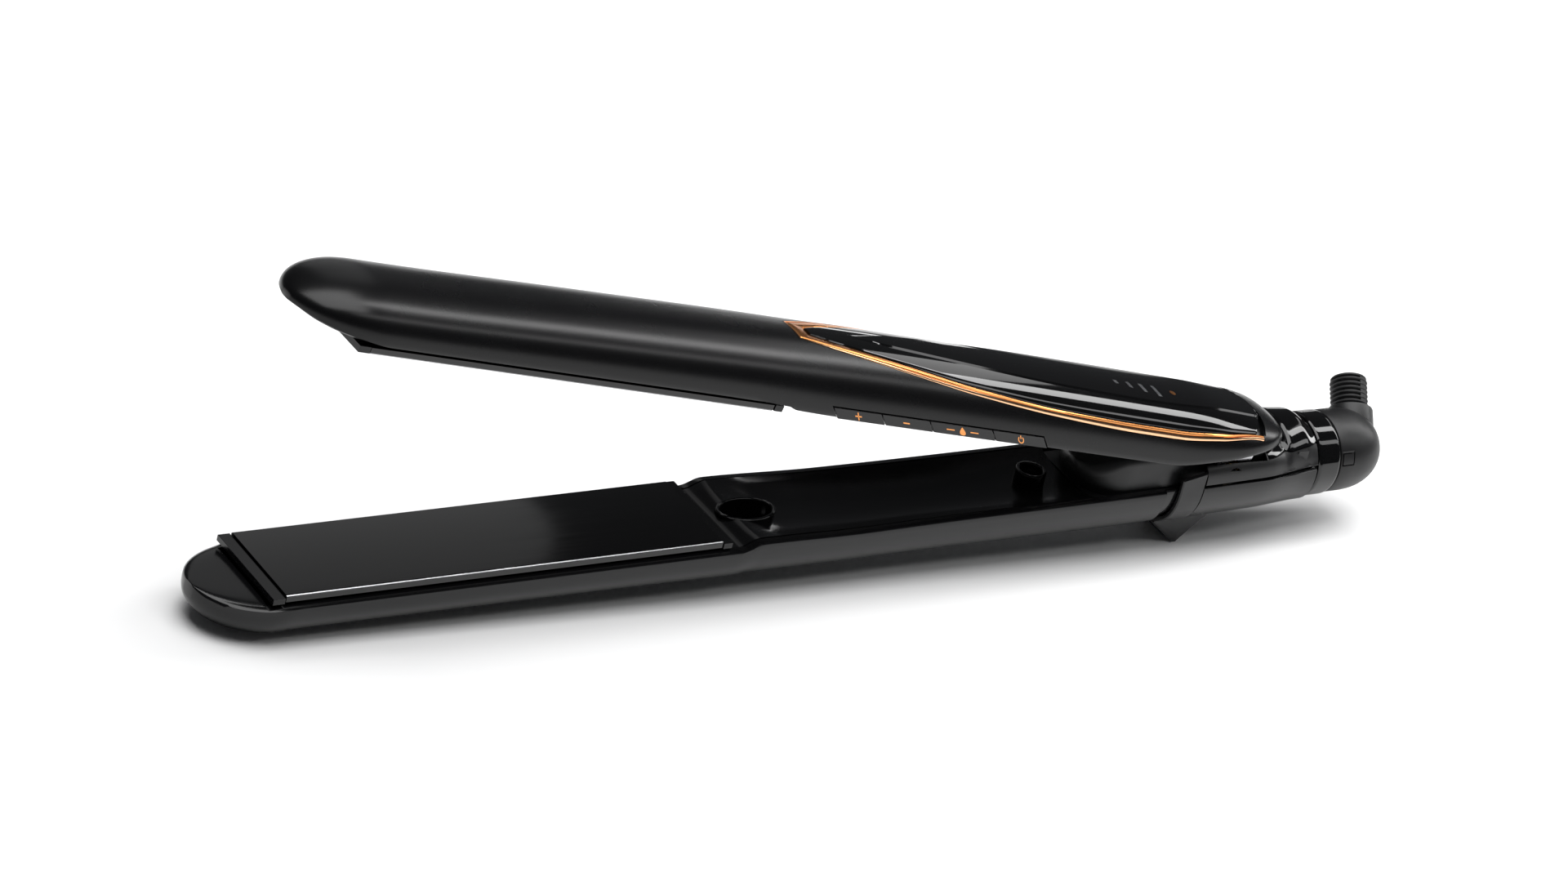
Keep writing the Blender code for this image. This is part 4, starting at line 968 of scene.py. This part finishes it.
def drop_symbol(x, z, size):
    """Pointed drop, the generic sign for care or moisture."""
    steps = 32
    outline = []
    for i in range(steps):
        t = 2 * math.pi * i / steps
        outline.append((x + size * 0.62 * math.sin(t) * math.sin(t / 2) ** 1.4,
                        z + size * 0.5 * math.cos(t)))
    return flat_symbol(outline)


def symbols():
    """Symbols of the four keys: plus, minus, a drop between two bars, power."""
    z = SYMBOL_Z
    plus = [bar_symbol(133.0, z, 1.9, 0.32), bar_symbol(133.0, z, 0.32, 1.9)]
    minus = [bar_symbol(147.2, z, 1.9, 0.32)]
    mode = [drop_symbol(164.0, z, 2.0)]
    mode += [bar_symbol(x, z, 2.4, 0.28) for x in (160.4, 167.6)]
    power = [arc_symbol(181.8, z - 0.05, 0.76, 0.27, 38, 322),
             bar_symbol(181.8, z + 0.6, 0.27, 0.85)]
    return plus, minus, mode, power


def keys():
    for index, (name, marks) in enumerate(zip(KEY_NAMES, symbols())):
        add_piece(name + "_cap", key_cap(index), name, "satin", [name], bevel=0.12)
        for number, mark in enumerate(marks):
            add_piece(f"{name}_symbol_{number + 1}", mark, name, "copper")


def level_mark():
    """Generic heat-level mark on the insert: rising silver bars and a copper dot."""
    def on_insert(x, y, lift):
        return (x, y, upper_skin_z(x, y) + insert_height(x, y) + lift)
    foot_y, half_bar = -0.6, 0.55
    for index in range(4):
        x = 214.0 + 4.0 * index
        length = 1.4 + 0.9 * index
        across = spread(foot_y - length, foot_y, 8)
        rings = []
        for lift in (-0.05, 0.05):
            left = [on_insert(x - half_bar, y, lift) for y in across]
            right = [on_insert(x + half_bar, y, lift) for y in reversed(across)]
            rings.append(left + right)
        add_piece(f"level_bar_{index + 1}", loft(rings), "upper_arm", "silver")
    dot = [[on_insert(x, y, lift) for x, y in oval(231.5, -2.4, 0.8, 0.8, 32)]
           for lift in (-0.05, 0.06)]
    add_piece("level_dot", loft(dot), "upper_arm", "copper")


# ---------------------------------------------------------------- hinge housing and rear body

CORE_BORE_RADIUS = 6.3


def tongue_half_width(x):
    body = smooth_curve(x, [(234, 10.8), (242.5, 9.3)])
    return body * rounded_end(224.0 - x, 10.5, 2.2)


def tongue_top_z(x):
    return smooth_curve(x, [(213.6, 2.5), (222, 7.5), (236, 7.5), (248, 4.4)])


def rounded_block_ring(x, half, low, high, radius):
    radius = min(radius, half * 0.9)
    ring = [(x, -half, low), (x, half, low)]
    for sign, start in ((1, 0.0), (-1, 90.0)):
        for step in range(10):
            angle = math.radians(start + 10 * step)
            y = sign * (half - radius) + radius * math.cos(angle)
            z = high - radius + radius * math.sin(angle)
            ring.append((x, y, z))
    return ring


def rear_body_ring(x, inset, low):
    half = lower_half_width(x) - inset
    middle = lower_wide_z(x)
    top = smooth_curve(x, [(262, 4.8), (268.7, 4.8), (270.8, 7.0), (276, 7.2), (278.6, 6.0),
                           (279.4, 5.6)])
    power = smooth_curve(x, [(262, 4.0), (270, 2.4), (280, 2.05)])
    height = top - inset - middle
    ring = [(x, -half, low), (x, half, low)]
    steps = 48
    for step in range(steps + 1):
        angle = math.pi * step / steps
        y = half * signed_power(math.cos(angle), 2 / power)
        z = middle + height * signed_power(math.sin(angle), 2 / power)
        ring.append((x, y, max(z, low + 0.01 + 0.001 * min(step, steps - step))))
    return ring


def rear_body_shell():
    stations = spread(243.9, 262.0, 8) + spread(264.0, 279.4, 30)
    outside = loft([rear_body_ring(x, 0.0, lower_rim_z(x) + GAP) for x in stations])
    hollow_stations = [242.0, 250.0, 256.0] + spread(262.0, 277.2, 14)
    hollow = loft([rear_body_ring(x, 1.4, -20.0) for x in hollow_stations])
    return cut(outside, hollow)


def hinge_housing():
    nose = [213.6, 213.7, 213.9, 214.2, 214.6, 215.2, 216.0, 217.0, 218.2, 219.6, 221.0, 222.5]
    tongue = loft([rounded_block_ring(x, tongue_half_width(x), -4.3, tongue_top_z(x), 2.6)
                   for x in nose + spread(224.0, 250.0, 14) + [261.3]])
    hollow = loft([rounded_block_ring(x, tongue_half_width(x) - 2.0, -20.0,
                                      tongue_top_z(x) - 1.8, 1.6)
                   for x in [217.5, 219.0, 221.0] + spread(224.0, 250.0, 9) + [260.4]])
    flange = loft([[(x, -10.9, -4.3), (x, 10.9, -4.3), (x, 10.9, -3.0), (x, -10.9, -3.0)]
                   for x in (213.2, 243.0)])
    rear = cut(rear_body_shell(), box((262.2, -20, 2.8), (290, 20, 20)))
    bearing_wall = join(cord_rod(272.6, 275.6, 8.0), box((272.6, -9.6, -1.0), (275.6, 9.6, 2.7)))
    housing = join(cut(join(tongue, flange), hollow), rear, bearing_wall)
    for sign in (-1, 1):
        low, high = sorted((sign * 4.8, sign * 9.3))
        housing = join(housing, pin_rod(low, high, 4.7))
    for sign in (-1, 1):
        low, high = sorted((sign * 9.5, sign * 11.45))
        housing = cut(housing, box((243.1, low, -9.0), (261.8, high, 9.0)))
    catch_slot = box((228.5, -3.6, 0.0), (241.0, 3.6, 12.0))
    spring_slot = box((243.5, -3.9, -12.0), (257.0, 3.9, 12.0))
    pin_bore = pin_rod(-12.5, 12.5, 2.3)
    core_bore = cord_rod(262.0, 290.0, CORE_BORE_RADIUS)
    housing = cut(housing, catch_slot, spring_slot, pin_bore, core_bore)
    add_piece("hinge_body", housing, "lower_arm", "matte", ["hinge_housing"])


def rear_cover():
    cover = cut(common(rear_body_shell(), box((262.5, -20, 3.1), (279.35, 20, 20))),
                cord_rod(262.0, 290.0, CORE_BORE_RADIUS + GAP))
    add_piece("neck_cover", cover, "lower_arm", "gloss", ["rear_top_cover"])


def lock_band():
    """Band round the arm with the stem and tooth that reach the catch."""
    outside = loft([arm_ring(LOWER_ARM, x, -0.25 + chamfer, 3.2 + 1.4 * share)
                    for x, chamfer, share in ((LOCK_START_X, 0.25, 0.0),
                                              (LOCK_START_X + 0.3, 0.0, 0.05),
                                              (LOCK_END_X - 0.3, 0.0, 0.95),
                                              (LOCK_END_X, 0.25, 1.0))])
    inside = loft([arm_ring(LOWER_ARM, x, 0.7, PAST_RIM)
                   for x in (LOCK_START_X - 1, LOCK_END_X + 1)])
    stem = box((238.8, -STEM_HALF_WIDTH, -14.0), (242.5, STEM_HALF_WIDTH, 3.0))
    tooth = box((235.4, -1.3, 1.4), (239.2, 1.3, 3.0))
    add_piece("lock_band", join(cut(outside, inside), stem, tooth), "lock", "matte",
              ["lock_slider"])


def lock_fin():
    """Thumb piece under the band, its crest rounded off towards the sides."""
    outline = [(236.9, -8.0), (237.4, -14.6), (245.2, -21.3), (246.4, -21.3), (252.4, -14.6),
               (252.4, -8.0)]
    levels = ((-6.6, 0.55), (-6.2, 0.85), (-5.6, 1.0), (5.6, 1.0), (6.2, 0.85), (6.6, 0.55))
    root_z = -14.0
    fin = loft([[(x, y, root_z + (z - root_z) * share if z < root_z else z) for x, z in outline]
                for y, share in levels])
    insets = ((230.0, -0.55), (243.7, -0.55), (243.72, -0.3), (256.0, -0.3))
    fin = cut(fin, loft([arm_ring(LOWER_ARM, x, inset, PAST_RIM) for x, inset in insets]))
    add_piece("lock_thumb_fin", fin, "lock", "matte", ["lock_fin"])


# ---------------------------------------------------------------- cord exit

ELBOW_START_X = 286.8
ELBOW_END_X = 303.4
ELBOW_RADIUS = 9.8
ELBOW_CENTRE = (297.0, 0.0, CORD_AXIS_Z + 0.9)
EXIT_DIRECTION = Vector((0.295, 0.738, 0.607)).normalized()
SPINE_SPREAD = 14.0


def neck_ring():
    profile = [(0, 8.2), (0, 9.7), (0.35, 10.0), (0.8, 10.1), (5.7, 10.1), (6.15, 10.0),
               (6.5, 9.7), (6.5, 8.2)]
    ring = turned(rounded_profile(profile, 0.3), (280.0, 0, CORD_AXIS_Z), (1, 0, 0), 96)
    add_piece("neck_gloss_ring", ring, "lower_arm", "gloss", ["collar_ring"])


def elbow_profile(inset):
    """Domed rear end of the elbow, or of its hollow when inset, as (x, radius) points."""
    points = []
    start = 291.0
    length = ELBOW_END_X - 0.06 - inset - start
    steps = 20
    for i in range(steps + 1):
        angle = 0.5 * math.pi * i / steps
        along = start + length * math.sin(angle) ** (2 / CROWN_POWER)
        radius = (ELBOW_RADIUS - inset) * max(math.cos(angle), 0.0) ** (2 / CROWN_POWER)
        points.append((along, 0 if i == steps else radius))
    return points


def clip_block(margin):
    """Room for the snap on the near side, widened by a margin."""
    return box((287.5 - margin, -12, -2.6 - margin), (290.5 + margin, -8.8 + margin, 1.9 + margin))


def elbow():
    start = [(ELBOW_START_X, 0), (ELBOW_START_X, ELBOW_RADIUS - 0.5),
             (ELBOW_START_X + 0.15, ELBOW_RADIUS - 0.18), (ELBOW_START_X + 0.5, ELBOW_RADIUS)]
    solid = along_cord(start + elbow_profile(0.0), 96)
    boss = turned([(1.0, 0), (1.0, 5.6), (8.0, 5.6), (8.35, 5.5), (8.6, 5.2), (8.6, 0)],
                  ELBOW_CENTRE, EXIT_DIRECTION, 64)
    hollow = along_cord([(288.4, 0), (288.4, ELBOW_RADIUS - WALL)] + elbow_profile(WALL), 40)
    core_bore = cord_rod(286.0, 289.0, CORE_BORE_RADIUS, 40)
    neck_bore = turned([(-1.5, 0), (-1.5, 4.9), (5.9, 4.9), (5.9, 4.3), (12.0, 4.3), (12.0, 0)],
                       ELBOW_CENTRE, EXIT_DIRECTION, 48)
    shell = cut(join(solid, boss), join(hollow, core_bore, neck_bore), clip_block(GAP))
    add_piece("elbow_shell", shell, "cord_swivel", "matte", ["elbow_housing"])
    band = along_cord([(287.0, 9.1), (287.0, ELBOW_RADIUS), (291.0, ELBOW_RADIUS), (291.0, 9.1)],
                      120)
    add_piece("elbow_snap", common(band, clip_block(0.0)), "cord_swivel", "matte",
              ["elbow_clip"])


def strain_relief():
    """Rubber sleeve with rounded ribs, and the smooth spines that join them on two sides."""
    profile = [(4.6, 0), (4.6, 4.6), (5.6, 4.6), (5.6, 4.0), (8.9, 4.0), (8.9, 4.45)]
    ribs, pitch, steps = 6, 1.15, 6
    for i in range(ribs):
        base = 9.15 + i * pitch
        for k in range(steps + 1):
            angle = math.pi * k / steps
            profile.append((base + 0.34 * (1 - math.cos(angle)), 3.95 + 0.55 * math.sin(angle)))
        profile += [(base + 0.80, 3.72), (base + 1.02, 3.72)]
    profile += [(15.95, 4.0), (16.1, 4.3), (16.35, 4.26), (16.6, 4.0), (16.78, 3.6), (16.9, 2.9),
                (16.95, 0)]
    sleeve = turned(profile, ELBOW_CENTRE, EXIT_DIRECTION, 72)
    add_piece("relief_sleeve", sleeve, "cord_swivel", "rubber", ["strain_relief"],
              sharp=60.0)
    turn = Vector((1, 0, 0)).rotation_difference(EXIT_DIRECTION).to_matrix()
    for number, degrees in enumerate((150.0, 330.0)):
        rings = []
        for along in (9.2, 15.9):
            ring = []
            outside = [(degrees + SPINE_SPREAD * (k / 4 - 1), 4.3) for k in range(9)]
            inside = [(degrees + SPINE_SPREAD, 3.6), (degrees - SPINE_SPREAD, 3.6)]
            for around, radius in outside + inside:
                angle = math.radians(around)
                ring.append((along, radius * math.cos(angle), radius * math.sin(angle)))
            rings.append([tuple(turn @ Vector(p) + Vector(ELBOW_CENTRE)) for p in ring])
        add_piece(f"relief_spine_{number + 1}", loft(rings), "cord_swivel", "rubber")


# ---------------------------------------------------------------- carried-over nodes

def carried_over():
    repaint("ceramic", "lower_heater", "upper_heater")
    repaint("steel", "lower_heater_clamp", "upper_heater_clamp", "hinge_pin", "hinge_spring",
            "lock_detent_spring", "hinge_lug_near", "hinge_lug_far", "lock_catch", "tact_switch_1",
            "tact_switch_2", "tact_switch_3", "tact_switch_4")
    repaint("brass", "lower_thermal_fuse", "contact_brush_live", "contact_brush_neutral",
            "contact_ring_live", "contact_ring_neutral", "hinge_bush_near", "hinge_bush_far")
    repaint("wire", "lower_lead_near", "lower_lead_far", "upper_lead_near", "upper_lead_far")
    repaint("board", "circuit_board")
    repaint("matte", "capacitor", "relay", "controller", "key_frame", "swivel_core")
    repaint("silicone", "float_pad_front", "float_pad_rear")


# ---------------------------------------------------------------- studio

CAMERA_BACK = (-39.04, 28.66)
CAMERA_ROLL = 14.69
CAMERA_DISTANCE = 1474.0
CAMERA_TARGET = (148.1, 22.7, 0.0)
CAMERA_LENS = 149.5


def add_camera():
    """Camera given in the lower arm's frame: direction, roll, distance and the point looked at."""
    azimuth, elevation = (math.radians(angle) for angle in CAMERA_BACK)
    back = Vector((math.sin(azimuth) * math.cos(elevation),
                   -math.cos(azimuth) * math.cos(elevation), math.sin(elevation)))
    turn = LOWER_PLACE.to_3x3().normalized()
    right = Vector((0, 0, 1)).cross(back).normalized()
    up = back.cross(right)
    roll = math.radians(CAMERA_ROLL)
    rolled_right = right * math.cos(roll) + up * math.sin(roll)
    rolled_up = up * math.cos(roll) - right * math.sin(roll)
    axes = Matrix((turn @ rolled_right, turn @ rolled_up, turn @ back)).transposed()
    data = bpy.data.cameras.new("photo_camera")
    data.lens = CAMERA_LENS
    data.sensor_width = 36.0
    data.clip_start = 0.05
    data.clip_end = 20.0
    camera = bpy.data.objects.new("photo_camera", data)
    place = LOWER_PLACE @ Vector(CAMERA_TARGET) + turn @ back * CAMERA_DISTANCE * MM
    camera.matrix_world = Matrix.Translation(place) @ axes.to_4x4()
    bpy.context.scene.collection.objects.link(camera)
    bpy.context.scene.camera = camera


def add_light(name, direction, distance, size, radiance, target=(0.0, 0.0, 0.03)):
    """Softbox that faces a target, its long side along the iron; radiance in W/m2/sr."""
    data = bpy.data.lights.new(name, "AREA")
    data.shape = "RECTANGLE"
    data.size, data.size_y = size
    data.energy = radiance * math.pi * size[0] * size[1]
    light = bpy.data.objects.new(name, data)
    away = Vector(direction).normalized()
    along = (Vector((1, 0, 0)) - away * away.x).normalized()
    axes = Matrix((along, away.cross(along), away)).transposed()
    light.matrix_world = Matrix.Translation(Vector(target) + away * distance) @ axes.to_4x4()
    light.visible_camera = False
    bpy.context.scene.collection.objects.link(light)


def add_floor():
    builder = bmesh.new()
    bmesh.ops.create_grid(builder, x_segments=8, y_segments=8, size=6.0)
    floor = bpy.data.objects.new("studio_floor", mesh_from(builder))
    floor.data.materials.append(surface("pale_paper_floor", (0.93, 0.93, 0.93), 0.9,
                                        (30.0, 4.0, EVEN, 0.86, 0.94), specular=0.1))
    bpy.context.scene.collection.objects.link(floor)


def add_world():
    world = bpy.data.worlds.new("studio")
    world.use_nodes = True
    background = world.node_tree.nodes["Background"]
    background.inputs["Color"].default_value = (0.92, 0.95, 1.0, 1.0)
    background.inputs["Strength"].default_value = 0.06
    bpy.context.scene.world = world
    bpy.context.scene.view_settings.view_transform = "Standard"


def studio():
    add_camera()
    add_floor()
    add_world()
    add_light("overhead_softbox", (-0.05, 0.0, 1.0), 1.6, (1.6, 1.6), 4.4)
    add_light("side_strip", (0.777, 0.03, 0.628), 1.1, (1.2, 0.20), 7.5, (0.0, 0.0, 0.05))
    add_light("front_strip", (0.553, -0.48, 0.68), 1.2, (1.4, 0.16), 3.0)
    add_light("rear_card", (0.766, 0.289, 0.574), 0.9, (0.13, 0.40), 2.0, (0.045, 0.0, 0.05))
    add_light("far_strip", (0.65, 0.76, 0.05), 1.2, (0.13, 0.06), 3.0, (0.045, 0.0, 0.05))
    add_light("plate_card", (0.553, 0.682, 0.48), 0.5, (0.16, 0.3), 0.35, (-0.175, 0.05, 0.01))


def main():
    studio()
    lower_shell()
    upper_shell()
    gloss_insert()
    copper_trim()
    heated_plates()
    plate_trays()
    lower_cover()
    well_rims()
    screws()
    upper_cover()
    keys()
    level_mark()
    hinge_housing()
    rear_cover()
    lock_band()
    lock_fin()
    neck_ring()
    elbow()
    strain_relief()
    carried_over()


main()
